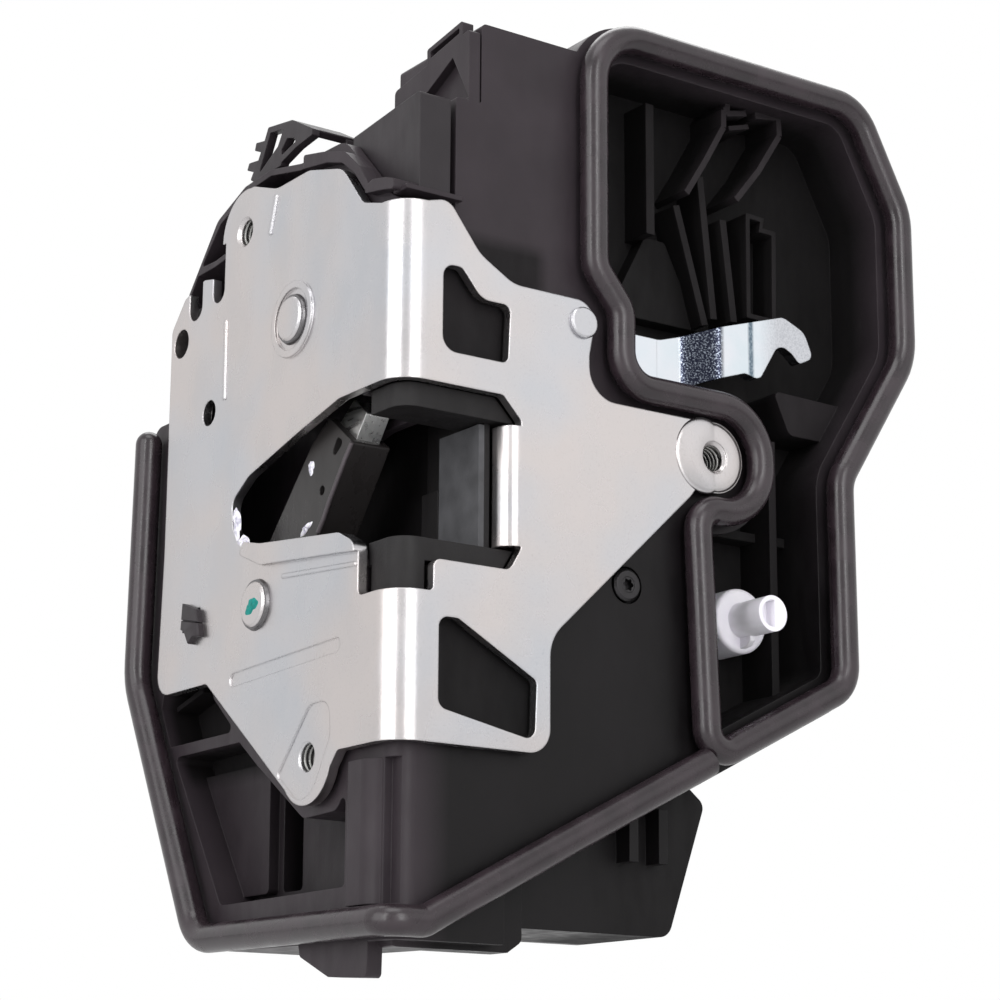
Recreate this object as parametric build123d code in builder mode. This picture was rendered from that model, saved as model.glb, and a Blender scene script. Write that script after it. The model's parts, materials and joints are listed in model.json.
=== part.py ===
"""Vehicle door latch with its lock actuator, in millimetres.

The latch plate is bent round a corner. Its shut face lies in the plane x = 0 and runs along +Y,
its inner face lies in the plane y = 0 and runs along +X, and +Z is up. The striker enters the
mouth along +Y. The origin is on the outer corner of the plate at the height of the striker.
"""
from build123d import *
from math import atan2, cos, degrees, pi, radians, sin, sqrt
import os

os.makedirs("parts", exist_ok=True)

# Clearances
gap = 0.3                  # between pieces that only lie beside each other
run_fit = 0.05             # radial clearance of a pin in a turning bore

# Latch plate, a zinc-plated pressing
plate_t = 2.0
bend_r = 6.0               # outside radius of the corner
plate_top = 51.0           # height of the plate's edge at the corner
plate_foot = -46.7
screw_core_r = 2.5         # threaded hole for an M6 screw
collar_r = 4.6
collar_len = 5.0
upper_screw = (56.1, 60.1)     # (y, z) on the shut face
lower_screw = (28.3, -46.8)
side_screw = (71.7, 13.6)      # (x, z) on the inner face
upper_ear_r = 8.8
lower_ear_r = 8.6
side_ear_r = 7.0
entry_r = 3.1              # mouth of each countersunk thread
entry_depth = 0.6
edge_hole = (81.0, 43.4)       # flanged hole near the edge of the shut face
edge_hole_r = 3.0
edge_collar_r = 4.1
edge_collar_len = 3.0
relief = 0.3               # height and depth of the pressed relief
rim_h = 1.0                # rim along the lower edge of the mouth

# Mouth for the striker
mouth_top = 17.6
mouth_foot = -14.5
mouth_end = 57.0           # closed end on the shut face, along y
mouth_reach = 26.8         # end on the inner face, along x
clip_y = 72.1              # moulded clip seen through the shut face
clip_z = -15.2
clip_w = 5.0
notch_foot = -20.3
notch_reach = 8.2
roll_r = 3.2               # outside radius of the rolled edge at the mouth's end
roll_len = 1.5             # straight part behind the roll
roll_foot = -9.9
roll_top = 12.4

# Claw, called the fork, and its pawl, in the layer behind the shut face
fork_pivot = (47.3, -16.0)     # (y, z)
pawl_pivot = (36.6, 37.0)
fork_aim = 127.8           # direction of the open fork's slot, degrees from +Y towards +Z
pawl_aim = -17.8           # direction of the lifted pawl's strut
pawl_tail_aim = 196.4
fork_front = 4.2
fork_cover_t = 8.2
fork_core_t = 5.0
fork_reach = 42.4          # end of the steel tip, from the fork's pivot
tip_face = 2.8             # half the width of the steel tip
pawl_reach = 35.1          # end of the pawl's strut, from its pivot
pawl_tail = 28.3
pawl_hub_r = 6.6
pin_r = 4.0
pin_neck_r = 3.0
head_r = 4.3
head_t = 1.2
case_floor_t = 2.0
back_plate_t = 1.8

# Housing
wall = 2.2
face_y = 3.0               # front face of the housing behind the inner face of the plate
side_x = 3.0               # front face of the housing behind the shut face
bay_depth = 25.7           # how far the latch bay reaches along +X
box_depth = 31.0           # how far the actuator box reaches along +Y
motor_bay_y = 8.0          # front face of the motor's bay
cover_t = 2.4

# Seal
seal_r = 2.7
seal_land = 3.6            # half the width of the land under the seal

# Outside release lever
lever_pivot = (40.7, 34.5)     # (x, z)
lever_t = 2.5
lever_y = 9.0              # inner flat part of the lever
lever_crank = 5.0          # the hooked end stands this much further out
crank_start = 57.0
crank_end = 65.5
lever_pin_r = 3.0
lever_neck_r = 2.0
lever_head_r = 3.0

rib_y = 10.0
lower_bay_x = 11.0         # floor of the open bays under the latch plate
corner_r = 4.0
column_x = 1.0             # rounded column of the housing below the plate
column_y = 6.7
column_r = 4.3
column_foot = -74.0
column_top = -49.0
panel_edge_x = 4.7
lip_x = 0.8
upper_hollow_x = 13.0
flange_x = 16.7
flange_t = 2.4
guide_x = 6.0
guide_back = 26.0
guide_foot = 54.4
guide_wall = 1.4
guide_w = 6.7
carrier_t = 1.6
switch_h = 5.6
lid_clear = 1.8            # between the switches and the lid
carrier_clear = 2.8        # between the recess tub and the contact carrier
carrier_y = box_depth - lid_clear - switch_h - carrier_t
recess_floor_y = carrier_y - carrier_clear - wall      # bottom of the open recess inside the seal
carrier_posts = [(60.0, 62.0), (104.0, 62.0), (104.0, 30.0)]

# Screws
screw_hole_r = 1.3
cover_boss_r = 3.6
face_screw = (52.9, -13.1)     # (x, z)
bay_screw_x = bay_depth + cover_boss_r + 0.7      # beside the latch bay
cover_screws = [(48.0, 85.0), (118.0, 60.0), (100.0, -24.0), (60.0, -46.0), (bay_screw_x, 48.0)]
case_fit = 0.4             # round the latch case

# Lock drive
wheel_axis = (41.0, -42.0)     # (x, z)
wheel_module = 0.9
wheel_teeth = 30
wheel_y = 20.0
wheel_t = 3.4
pinion_teeth = 10
axle_r = 2.0
worm_pitch_r = 3.2
motor_r = 7.2
motor_len = 12.8
motor_x = 52.0

# White coupler of the lock
coupler_axis = (85.4, -15.0)   # (x, z)
coupler_r = 6.4
coupler_shaft_r = 3.0
coupler_front = 8.6
stub_r = 3.5
stub_end = -0.5
cam_y = 20.0
axle_seat_y = 8.0

# Lining of the mouth
liner_x = 2.6
liner_y = 2.5
liner_end = 23.3
liner_top = 13.2
liner_foot = -10.4
pad_t = 1.2                # damping pad on the end wall of the lining
pad_end = 17.8             # the pad's far end, along y
liner_depth = 23.5
liner_back = 12.4

# Connector socket, open to the top
socket_low = 76.0
socket_top = 90.8
socket_side = (22.0, 40.0)     # along x
socket_front = 8.0
socket_back = carrier_y - 0.6
terminal_x = (27.0, 31.0, 35.0)
terminal_rows = (11.6, 14.8, 18.0)
terminal_w = 0.8
socket_wall = 1.6
leg_z = (72.4, 73.8, 75.2)     # height of each row's leg, the front row lowest

motor_flat = 6.0
shaft_r = 1.0
tooth_pitch = pi * wheel_module
wheel_r = wheel_teeth * wheel_module / 2
pinion_r = pinion_teeth * wheel_module / 2
worm_y = wheel_y + wheel_t / 2
worm_z = wheel_axis[1] - wheel_r - worm_pitch_r
worm_turns = 5
worm_start = wheel_axis[0] - worm_turns / 2 * tooth_pitch

fork_mid = fork_front + fork_cover_t / 2
fork_back = fork_front + fork_cover_t
core_front = fork_mid - fork_core_t / 2
case_front = plate_t + gap
case_floor = fork_back + 2 * gap
back_plate_x = case_floor + case_floor_t + gap
back_plate_end = back_plate_x + back_plate_t
spring_x = back_plate_end + 1.2


def outline(plane, corners):
    """A closed flat face through corners (u, v, rounding radius) on a plane."""
    with BuildSketch(plane) as face:
        with BuildLine():
            FilletPolyline(*[(u, v) for u, v, r in corners], radius=[r for u, v, r in corners], close=True)
        make_face()
    return face.sketch


def shut_slab(corners, x_low, x_high, mode=Mode.ADD):
    """A slab parallel to the shut face, from corners (y, z, r)."""
    extrude(outline(Plane.YZ.offset(x_low), corners), amount=x_high - x_low, mode=mode)


def face_slab(corners, y_low, y_high, mode=Mode.ADD):
    """A slab parallel to the inner face, from corners (x, z, r)."""
    extrude(outline(Plane.XZ.offset(-y_low), corners), amount=y_low - y_high, mode=mode)


def top_slab(corners, z_low, z_high, mode=Mode.ADD):
    """An upright slab, from corners (x, y, r)."""
    extrude(outline(Plane.XY.offset(z_low), corners), amount=z_high - z_low, mode=mode)


def rod_x(centre, radius, x_low, x_high, mode=Mode.ADD):
    """A round bar or hole along X at (y, z)."""
    with BuildSketch(Plane.YZ.offset(x_low)) as disc:
        with Locations(centre):
            Circle(radius)
    extrude(disc.sketch, amount=x_high - x_low, mode=mode)


def rod_y(centre, radius, y_low, y_high, mode=Mode.ADD):
    """A round bar or hole along Y at (x, z)."""
    with BuildSketch(Plane.XZ.offset(-y_low)) as disc:
        with Locations(centre):
            Circle(radius)
    extrude(disc.sketch, amount=y_low - y_high, mode=mode)


def block(x_low, x_high, y_low, y_high, z_low, z_high, mode=Mode.ADD):
    """A plain block between two corners."""
    with BuildSketch(Plane.XY.offset(z_low)) as base:
        with Locations(((x_low + x_high) / 2, (y_low + y_high) / 2)):
            Rectangle(x_high - x_low, y_high - y_low)
    extrude(base.sketch, amount=z_high - z_low, mode=mode)


def keep(piece, name):
    """Label a finished piece and write it to its own file."""
    piece.part.label = name
    export_step(piece.part, "parts/" + name + ".step")


# Latch plate
shut_leg = [
    (bend_r, plate_foot, 0), (bend_r, plate_top, 0), (12.5, 53.0, 4), (20.0, 62.0, 6), (32.0, 65.4, 8),
    (44.0, 65.4, 8), (54.0, 69.0, 3), (64.9, 62.0, 3), (64.9, 53.0, 2), (72.0, 54.5, 1), (80.0, 52.6, 1.5),
    (85.2, 47.0, 2), (85.0, 0.0, 20), (86.2, -28.3, 4.5), (66.0, -28.3, 2.5), (33.6, -53.2, 0),
    (20.6, -50.0, 0), (17.6, plate_foot, 1.6),
]
inner_leg = [
    (bend_r, plate_top, 0), (bend_r, plate_foot, 0), (33.3, plate_foot, 4.5), (33.3, -25.8, 8),
    (66.0, 5.2, 0), (72.0, 13.0, 0), (70.0, 20.3, 0), (42.2, 20.3, 6), (42.2, 28.5, 4), (44.2, 38.9, 4),
    (25.0, 38.9, 7), (17.5, 43.2, 7), (10.5, 52.2, 3),
]
upper_window = [
    (9.5, 39.9, 2.4), (13.6, 39.9, 1.6), (18.0, 34.7, 4), (24.3, 34.7, 1.5), (23.8, 23.6, 1.5),
    (9.5, 23.6, 3),
]
lower_window = [(9.4, -24.5, 2), (13.5, -24.5, 1.5), (30.4, -33.8, 1.5), (30.0, -44.6, 2), (9.4, -40.5, 2)]
shut_mouth = [
    (-1.0, mouth_top, 0), (19.5, mouth_top, 2), (33.0, 14.6, 20), (52.0, 9.8, 5), (mouth_end + 1.2, 6.0, 3),
    (mouth_end, -1.5, 4), (52.0, -3.2, 4), (45.0, -4.8, 2), (17.0, -8.0, 3), (11.8, -10.6, 3),
    (11.8, notch_foot, 1.5), (-1.0, notch_foot, 0),
]
inner_mouth = [
    (-1.0, mouth_top, 0), (22.8, mouth_top, 1.5), (mouth_reach, 13.4, 1), (mouth_reach, -10.4, 1),
    (24.4, mouth_foot, 2), (notch_reach, mouth_foot, 1.5), (notch_reach, notch_foot, 1),
    (-1.0, notch_foot, 0),
]
beads = [
    [(43.6, 64.2, 0.3), (44.5, 64.2, 0.3), (46.7, 56.6, 0.3), (45.8, 56.6, 0.3)],
    [(62.2, 43.7, 0.3), (63.1, 43.7, 0.3), (62.8, 27.3, 0.3), (61.9, 27.3, 0.3)],
    [(12.4, -14.8, 0.3), (38.0, -12.6, 0.3), (38.0, -11.8, 0.3), (12.4, -14.0, 0.3)],
]
dents = [
    [(17.4, -26.6, 1.1), (17.4, -29.2, 1.1), (56.7, -30.4, 1.1), (56.7, -27.8, 1.1)],
    [(20.0, -44.0, 4), (20.6, -37.4, 3), (27.6, -37.4, 3), (38.4, -49.0, 1), (28.0, -57.0, 6)],
]
with BuildPart() as latch_plate:
    shut_slab(shut_leg, 0, plate_t)
    rod_x(upper_screw, upper_ear_r, 0, plate_t)
    rod_x(lower_screw, lower_ear_r, 0, plate_t)
    face_slab(inner_leg, 0, plate_t)
    rod_y(side_screw, side_ear_r, 0, plate_t)
    with BuildSketch(Plane.XY.offset(plate_foot)) as bend:
        with Locations((bend_r, bend_r)):
            Circle(bend_r)
            Circle(bend_r - plate_t, mode=Mode.SUBTRACT)
            Rectangle(4 * bend_r, 2 * bend_r, align=(Align.CENTER, Align.MIN), mode=Mode.SUBTRACT)
            Rectangle(2 * bend_r, 4 * bend_r, align=(Align.MIN, Align.CENTER), mode=Mode.SUBTRACT)
    extrude(bend.sketch, amount=plate_top - plate_foot)
    # Open slots and the edge hole at the upper corner of the shut face
    for slot_y, slot_r, slot_z in ((66.1, 2.4, 50.6), (75.4, 2.7, 49.6)):
        rod_x((slot_y, slot_z), slot_r, -1, plate_t + 1, Mode.SUBTRACT)
        block(-1, plate_t + 1, slot_y - slot_r, slot_y + slot_r, slot_z, 60, Mode.SUBTRACT)
    rod_x(edge_hole, edge_collar_r, plate_t / 2, plate_t + edge_collar_len)
    rod_x(edge_hole, edge_hole_r, -1, plate_t + edge_collar_len + 1, Mode.SUBTRACT)
    rod_x((68.4, 26.0), 2.6, -1, plate_t + 1, Mode.SUBTRACT)
    # Shallow relief of the shut face
    for bead in beads:
        shut_slab(bead, -relief, plate_t / 2)
    for dent in dents:
        shut_slab(dent, -1, relief, Mode.SUBTRACT)
    face_slab(upper_window, -1, plate_t + 1, Mode.SUBTRACT)
    face_slab(lower_window, -1, plate_t + 1, Mode.SUBTRACT)
    # Raised rim along the lower edge of the mouth
    shut_slab([(53.4, -5.4, 1), (50.0, -2.0, 2), (45.0, -3.0, 2), (16.0, -6.5, 2), (11.2, -10.0, 1),
               (11.0, -12.4, 0.5), (18.0, -11.6, 2), (45.0, -8.9, 3)], -rim_h, plate_t / 2)
    block(-1, plate_t + 1, clip_y - clip_w / 2 - gap, clip_y + clip_w / 2 + gap, clip_z - 2.3, clip_z + 2.3,
          Mode.SUBTRACT)
    # Stiffening ring round the pawl rivet
    rod_x(pawl_pivot, 7.4, -0.5, plate_t / 2)
    rod_x(pawl_pivot, 6.0, -1, 0, Mode.SUBTRACT)
    shut_slab(shut_mouth, -2, plate_t + 1, Mode.SUBTRACT)
    face_slab(inner_mouth, -2, bend_r, Mode.SUBTRACT)
    block(-2, bend_r + 0.01, -2, bend_r + 0.01, notch_foot, mouth_top, Mode.SUBTRACT)
    # Edge of the mouth rolled inwards at its end on the inner face
    with BuildSketch(Plane.XY.offset(roll_foot)) as roll:
        with Locations((mouth_reach, roll_r)):
            Circle(roll_r)
            Circle(roll_r - plate_t, mode=Mode.SUBTRACT)
            Rectangle(4 * roll_r, 2 * roll_r, align=(Align.CENTER, Align.MIN), mode=Mode.SUBTRACT)
            Rectangle(2 * roll_r, 4 * roll_r, align=(Align.MIN, Align.CENTER), mode=Mode.SUBTRACT)
        with Locations((mouth_reach - roll_r + plate_t / 2, roll_r)):
            Rectangle(plate_t, roll_len, align=(Align.CENTER, Align.MIN))
    extrude(roll.sketch, amount=roll_top - roll_foot)
    # Threaded collars drawn inwards at the three fixing holes
    for place in (upper_screw, lower_screw):
        rod_x(place, collar_r, plate_t / 2, plate_t + collar_len)
        rod_x(place, screw_core_r, -1, plate_t + collar_len + 1, Mode.SUBTRACT)
        with Locations(Location((entry_depth / 2, *place), (0, 90, 0))):
            Cone(entry_r, screw_core_r, entry_depth, mode=Mode.SUBTRACT)
    rod_y(side_screw, collar_r, plate_t / 2, plate_t + collar_len)
    rod_y(side_screw, screw_core_r, -1, plate_t + collar_len + 1, Mode.SUBTRACT)
    with Locations(Location((side_screw[0], entry_depth / 2, side_screw[1]), (-90, 0, 0))):
        Cone(entry_r, screw_core_r, entry_depth, mode=Mode.SUBTRACT)
    # Bores for the three rivets
    for place in (fork_pivot, pawl_pivot):
        rod_x(place, pin_neck_r + run_fit, -2, plate_t + 1, Mode.SUBTRACT)
    rod_y(lever_pivot, lever_neck_r + run_fit, -1, plate_t + 1, Mode.SUBTRACT)
keep(latch_plate, "latch_plate")

# Latch case, the moulded carrier of fork and pawl
case_side = [
    (13.0, -26.0, 3), (13.0, 46.0, 4), (20.0, 50.4, 4), (46.5, 50.4, 5), (52.0, 44.5, 4),
    (78.0, 42.0, 8), (80.5, 20.0, 12), (80.5, -14.0, 10), (70.0, -26.0, 4), (60.0, -31.4, 4),
    (26.0, -31.4, 6),
]
mouth_through = [(10.0, 14.5, 0), (24.0, 14.5, 4), (50.0, 9.5, 6), (58.0, 4.0, 3), (58.0, -3.0, 3),
                 (44.0, -7.6, 4), (10.0, -10.5, 0)]


def case_ring(margin, x_low, x_high, mode=Mode.ADD):
    """A slab with the case's outline, moved outwards by a margin."""
    with BuildSketch(Plane.YZ.offset(x_low)) as ring:
        add(outline(Plane.XY, case_side))
        offset(amount=margin, mode=Mode.REPLACE)
    extrude(ring.sketch, amount=x_high - x_low, mode=mode)


with BuildPart() as latch_case:
    case_ring(0, case_front, case_floor + case_floor_t)
    case_ring(-wall, case_front - 1, case_floor, Mode.SUBTRACT)
    shut_slab(mouth_through, case_floor - 1, case_floor + 3, Mode.SUBTRACT)
    # Way in for the striker and slot for the pawl's tail through the side wall
    block(case_front - 1, case_floor + 3, 12.0, 16.0, mouth_foot, mouth_top, Mode.SUBTRACT)
    block(case_front - 1, case_floor, 12.0, 16.0, 23.0, 41.0, Mode.SUBTRACT)
    for place in (fork_pivot, pawl_pivot):
        rod_x(place, pin_r + gap, case_floor - 1, case_floor + 3, Mode.SUBTRACT)
    # Clearance for the threaded collar of the upper screw, and the clip in the plate
    rod_x(upper_screw, collar_r + gap, case_front - 1, plate_t + collar_len + gap, Mode.SUBTRACT)
    block(-0.9, case_front + 2, clip_y - clip_w / 2, clip_y + clip_w / 2, clip_z - 2.0, clip_z + 2.0)
    block(case_front, case_floor, clip_y - clip_w / 2, 78.0, clip_z - 1.6, clip_z + 1.6)
keep(latch_case, "latch_case")

# Back plate, which carries the inner ends of the rivets
with BuildPart() as back_plate:
    shut_slab([(25.0, 24.0, 2), (25.0, 46.0, 6), (46.0, 46.0, 6), (76.0, 36.0, 8), (76.0, -16.0, 8),
               (60.0, -27.0, 5), (36.0, -27.0, 5), (36.0, -9.5, 3), (56.0, -6.0, 3), (61.5, -4.0, 3),
               (61.5, 6.0, 4), (52.0, 12.5, 5), (34.0, 17.5, 5)], back_plate_x, back_plate_end)
    for place in (fork_pivot, pawl_pivot):
        rod_x(place, pin_neck_r + run_fit, back_plate_x - 1, back_plate_end + 1, Mode.SUBTRACT)
keep(back_plate, "back_plate")


def rivet(centre, name):
    """Shouldered rivet from the shut face through the case to the back plate."""
    with BuildPart() as pin:
        rod_x(centre, head_r, -head_t, 0)
        rod_x(centre, pin_neck_r, -head_t, back_plate_end + head_t)
        rod_x(centre, pin_r, plate_t, back_plate_x)
        rod_x(centre, head_r, back_plate_end, back_plate_end + head_t)
        chamfer(pin.faces().sort_by(Axis.X)[0].edges(), 0.4)
    keep(pin, name)


rivet(fork_pivot, "fork_pin")
rivet(pawl_pivot, "pawl_pin")


def turned(centre, aim, corners):
    """Corners given along and across a direction, as (y, z, r) round a centre."""
    c = cos(radians(aim))
    s = sin(radians(aim))
    return [(centre[0] + a * c + b * s, centre[1] + a * s - b * c, r) for a, b, r in corners]


# Fork: a steel core inside a moulded cover, open at rest
core_side = turned(fork_pivot, fork_aim, [
    (fork_reach, -tip_face, 0.4), (9.6, -tip_face, 3), (9.6, -15.6, 3), (17.6, -15.6, 1), (14.0, -18.8, 3),
    (6.0, -18.8, 6), (-7.8, -6.2, 5), (-7.8, 6.0, 5), (4.0, 8.6, 6), (36.5, 4.6, 4),
    (fork_reach, tip_face, 0.4)])
cover_side = turned(fork_pivot, fork_aim, [
    (36.9, -4.25, 0.5), (11.0, -4.25, 4.5), (11.0, -14.25, 4.5), (19.4, -14.25, 1.6), (15.5, -20.2, 4),
    (5.0, -21.0, 8), (-9.5, -7.5, 7), (-9.5, 7.5, 7), (4.0, 11.0, 6), (30.0, 8.5, 6), (36.9, 6.2, 1)])
with BuildPart() as fork_core:
    shut_slab(core_side, core_front, core_front + fork_core_t)
    rod_x(fork_pivot, pin_r + run_fit, core_front - 1, fork_back, Mode.SUBTRACT)
keep(fork_core, "fork_core")

with BuildPart() as fork_cover:
    shut_slab(cover_side, fork_front, fork_back)
    shut_slab(core_side, core_front, core_front + fork_core_t, Mode.SUBTRACT)
    rod_x(fork_pivot, pin_r + run_fit, fork_front - 1, fork_back + 1, Mode.SUBTRACT)
    # Damping notch and core hole in the arm
    shut_slab(turned(fork_pivot, fork_aim, [(29.0, 0.5, 0.8), (35.5, -1.5, 0.8), (35.5, 1.2, 0.8)]),
              fork_front - 1, core_front, Mode.SUBTRACT)
    core_hole = turned(fork_pivot, fork_aim, [(25.0, -0.5, 0)])[0][:2]
    rod_x(core_hole, 0.9, fork_front - 1, core_front, Mode.SUBTRACT)
keep(fork_cover, "fork_cover")

# Pawl, lifted at rest
strut_side = turned(pawl_pivot, pawl_aim, [
    (0, 3.0, 0), (pawl_reach - 0.2, 3.0, 0.3), (pawl_reach + 0.2, -3.0, 0.3), (0, -3.0, 0)])
tail_side = turned(pawl_pivot, pawl_tail_aim, [
    (0, 2.6, 0), (pawl_tail, 1.8, 0.8), (pawl_tail, -1.8, 0.8), (0, -2.6, 0)])
with BuildPart() as pawl_core:
    rod_x(pawl_pivot, pawl_hub_r, core_front, core_front + fork_core_t)
    shut_slab(strut_side, core_front, core_front + fork_core_t)
    shut_slab(tail_side, core_front, core_front + fork_core_t)
    rod_x(pawl_pivot, pin_r + run_fit, core_front - 1, fork_back, Mode.SUBTRACT)
keep(pawl_core, "pawl_core")

with BuildPart() as pawl_cover:
    shut_slab(turned(pawl_pivot, pawl_aim, [(-8.2, 7.0, 5), (6.0, 8.4, 6), (20.0, 4.4, 3), (20.0, -4.4, 3),
                                            (6.0, -8.4, 6), (-8.2, -7.0, 5)]), fork_front, fork_back)
    rod_x(pawl_pivot, pawl_hub_r, core_front, core_front + fork_core_t, Mode.SUBTRACT)
    shut_slab(strut_side, core_front, core_front + fork_core_t, Mode.SUBTRACT)
    shut_slab(tail_side, core_front, core_front + fork_core_t, Mode.SUBTRACT)
    rod_x(pawl_pivot, pin_r + run_fit, fork_front - 1, fork_back + 1, Mode.SUBTRACT)
keep(pawl_cover, "pawl_cover")


def coil(origin, axis, radius, wire, turns, leg):
    """Torsion spring round an axis with one straight leg."""
    pitch = wire + 0.25
    with BuildLine() as path:
        helix = Helix(pitch, pitch * turns, radius, center=origin, direction=axis)
        Line(helix @ 1, helix @ 1 + (helix % 1) * leg)
    with BuildSketch(Plane(origin=path.line @ 0, z_dir=path.line % 0)) as section:
        Circle(wire / 2)
    sweep(section.sketch, path=path.line, is_frenet=True)


with BuildPart() as fork_spring:
    coil((spring_x, *fork_pivot), (1, 0, 0), 5.4, 1.1, 2.0, 7.0)
keep(fork_spring, "fork_spring")

with BuildPart() as pawl_spring:
    coil((spring_x, *pawl_pivot), (1, 0, 0), 5.4, 1.1, 2.0, 6.0)
keep(pawl_spring, "pawl_spring")

# Outside release lever, a cranked pressing with a hook
lever_side = [
    (6.5, 40.0, 0.6), (13.0, 40.0, 3), (30.0, 34.5, 6), (36.0, 28.6, 5), (50.0, 28.6, 5), (56.5, 29.4, 4),
    (69.0, 28.6, 4), (83.4, 33.4, 2), (87.0, 32.6, 2), (92.3, 41.2, 2.6), (95.6, 39.6, 2), (97.6, 37.8, 1),
    (101.2, 39.6, 1.5), (99.0, 44.6, 3.5), (93.5, 46.8, 3), (75.0, 41.0, 6), (66.0, 38.2, 6), (50.0, 38.2, 6),
    (43.0, 43.4, 5), (30.0, 42.6, 6), (14.0, 46.2, 4), (6.5, 46.2, 1.5),
]
with BuildPart() as release_lever:
    outer_y = lever_y - lever_crank
    top_slab([(0.0, lever_y, 0), (crank_start, lever_y, 2), (crank_end, outer_y, 2), (110.0, outer_y, 0),
              (110.0, outer_y + lever_t, 0), (crank_end + 0.8, outer_y + lever_t, 2),
              (crank_start + 0.8, lever_y + lever_t, 2), (0.0, lever_y + lever_t, 0)], 20, 60)
    face_slab(lever_side, outer_y - 1, lever_y + lever_t + 1, Mode.INTERSECT)
    rod_y(lever_pivot, lever_pin_r + run_fit, outer_y, lever_y + lever_t + 1, Mode.SUBTRACT)
keep(release_lever, "release_lever")

with BuildPart() as lever_pin:
    rod_y(lever_pivot, lever_head_r, -0.8, 0)
    rod_y(lever_pivot, lever_neck_r, -0.8, plate_t)
    rod_y(lever_pivot, lever_pin_r, plate_t, lever_y + lever_t + gap)
    rod_y(lever_pivot, lever_head_r + 1, lever_y + lever_t + gap, lever_y + lever_t + gap + head_t)
    chamfer(lever_pin.faces().sort_by(Axis.Y)[0].edges(), 0.3)
keep(lever_pin, "lever_pin")

with BuildPart() as lever_spring:
    coil((lever_pivot[0], lever_y - 3.1, lever_pivot[1]), (0, 1, 0), 4.9, 1.0, 1.6, 5.0)
keep(lever_spring, "lever_spring")

# Outlines shared by the housing, its chamber, its cover and its seal
seal_loop = [
    (43.4, 94.2, 11), (110.5, 94.2, 9), (121.9, 73.0, 12), (121.9, 42.0, 14), (103.8, 14.0, 9),
    (104.0, -27.1, 6.5), (69.4, -44.8, 4), (67.4, 3.2, 4.5), (83.3, 3.2, 10), (83.3, 24.2, 10),
    (49.6, 24.2, 6.5), (49.6, 38.5, 5), (43.4, 46.0, 5),
]
seal_foot = -77.2
box_side = [
    (side_x, -80.0, 0), (8.2, -80.0, 2), (107.5, -29.2, 10), (107.3, 13.0, 5.5), (125.4, 41.0, 17.5),
    (125.4, 73.9, 15.5), (112.6, 97.7, 12.5), (39.9, 97.7, 14.5), (39.9, 55.0, 2), (side_x, 51.0, 0),
]
panel_side = [
    (13.9, 45.0, 0), (13.9, 74.0, 0.5), (19.5, 74.0, 0.5), (19.5, 90.0, 1), (46.0, 90.0, 0), (46.0, 45.0, 0),
]
motor_side = [(20.0, -50.0, 0), (20.0, -76.5, 2), (66.0, -76.5, 3), (74.8, -51.5, 2), (60.0, -40.0, 0)]
shut_side = [
    (face_y, 51.0, 0), (12.0, 57.0, 3), (24.0, 69.5, 6), (40.0, 70.0, 6), (52.0, 72.5, 4), (62.0, 72.0, 3),
    (73.0, 68.0, 4), (84.0, 55.5, 4), (88.5, 50.0, 3), (88.5, 29.5, 0), (97.3, 29.5, 3.5),
    (98.1, -25.0, 17.5), (66.8, -78.8, 11), (face_y, -80.0, 0),
]


def box_face(margin, plane):
    """Outline of the actuator box, moved by a margin."""
    with BuildSketch(plane) as face:
        add(outline(Plane.XY, box_side))
        add(outline(Plane.XY, panel_side))
        offset(amount=margin, mode=Mode.REPLACE)
    return face.sketch


def motor_face(margin, plane):
    with BuildSketch(plane) as face:
        add(outline(Plane.XY, motor_side))
        offset(amount=margin, mode=Mode.REPLACE)
    return face.sketch


def recess_face(margin, plane):
    """Outline of the open recess, inside the seal."""
    with BuildSketch(plane) as face:
        add(outline(Plane.XY, seal_loop))
        offset(amount=margin - seal_land, mode=Mode.REPLACE)
    return face.sketch


# Open bays under the plate, hollows above it and the lip beside it, as corners (y, z, r)
lower_bays = [
    [(89.4, -29.6, 0.5), (88.6, -26.8, 0.5), (70.0, -26.8, 0.5), (68.0, -30.7, 1), (59.4, -38.0, 1),
     (85.1, -38.0, 1)],
    [(83.1, -40.3, 1), (63.0, -70.4, 2), (19.0, -70.2, 1), (19.2, -52.5, 1), (22.0, -56.6, 3),
     (33.4, -57.0, 3), (50.7, -45.4, 0), (57.6, -40.3, 1)],
]
upper_hollows = [
    [(37.0, 60.5, 1), (37.0, 68.6, 0.5), (40.2, 68.7, 1), (51.8, 71.2, 1), (60.6, 70.7, 0.5),
     (60.0, 67.0, 1), (51.0, 65.8, 2), (47.8, 60.5, 1)],
    [(66.2, 69.0, 0.5), (71.8, 67.0, 0.5), (79.3, 59.8, 0.5), (73.2, 59.6, 1), (66.2, 60.4, 1)],
    [(66.2, 59.2, 0.5), (73.4, 58.4, 1), (80.6, 58.3, 0.5), (84.0, 54.0, 0.5), (84.0, 51.0, 1),
     (66.2, 51.0, 1)],
]
left_lip = [
    (13.0, 55.6, 0.5), (17.0, 60.4, 3), (21.4, 63.8, 3), (27.0, 65.6, 5), (35.6, 67.0, 0.5),
    (35.6, 69.8, 0.5), (28.4, 68.2, 5), (20.6, 65.8, 3), (15.4, 61.4, 3), (12.2, 57.0, 0.5),
]


def face_plane(y):
    """Plane at depth y seen from the inner face: local x is +X and local y is +Z."""
    return Plane(origin=(0, y, 0), x_dir=(1, 0, 0), z_dir=(0, -1, 0))


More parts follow.
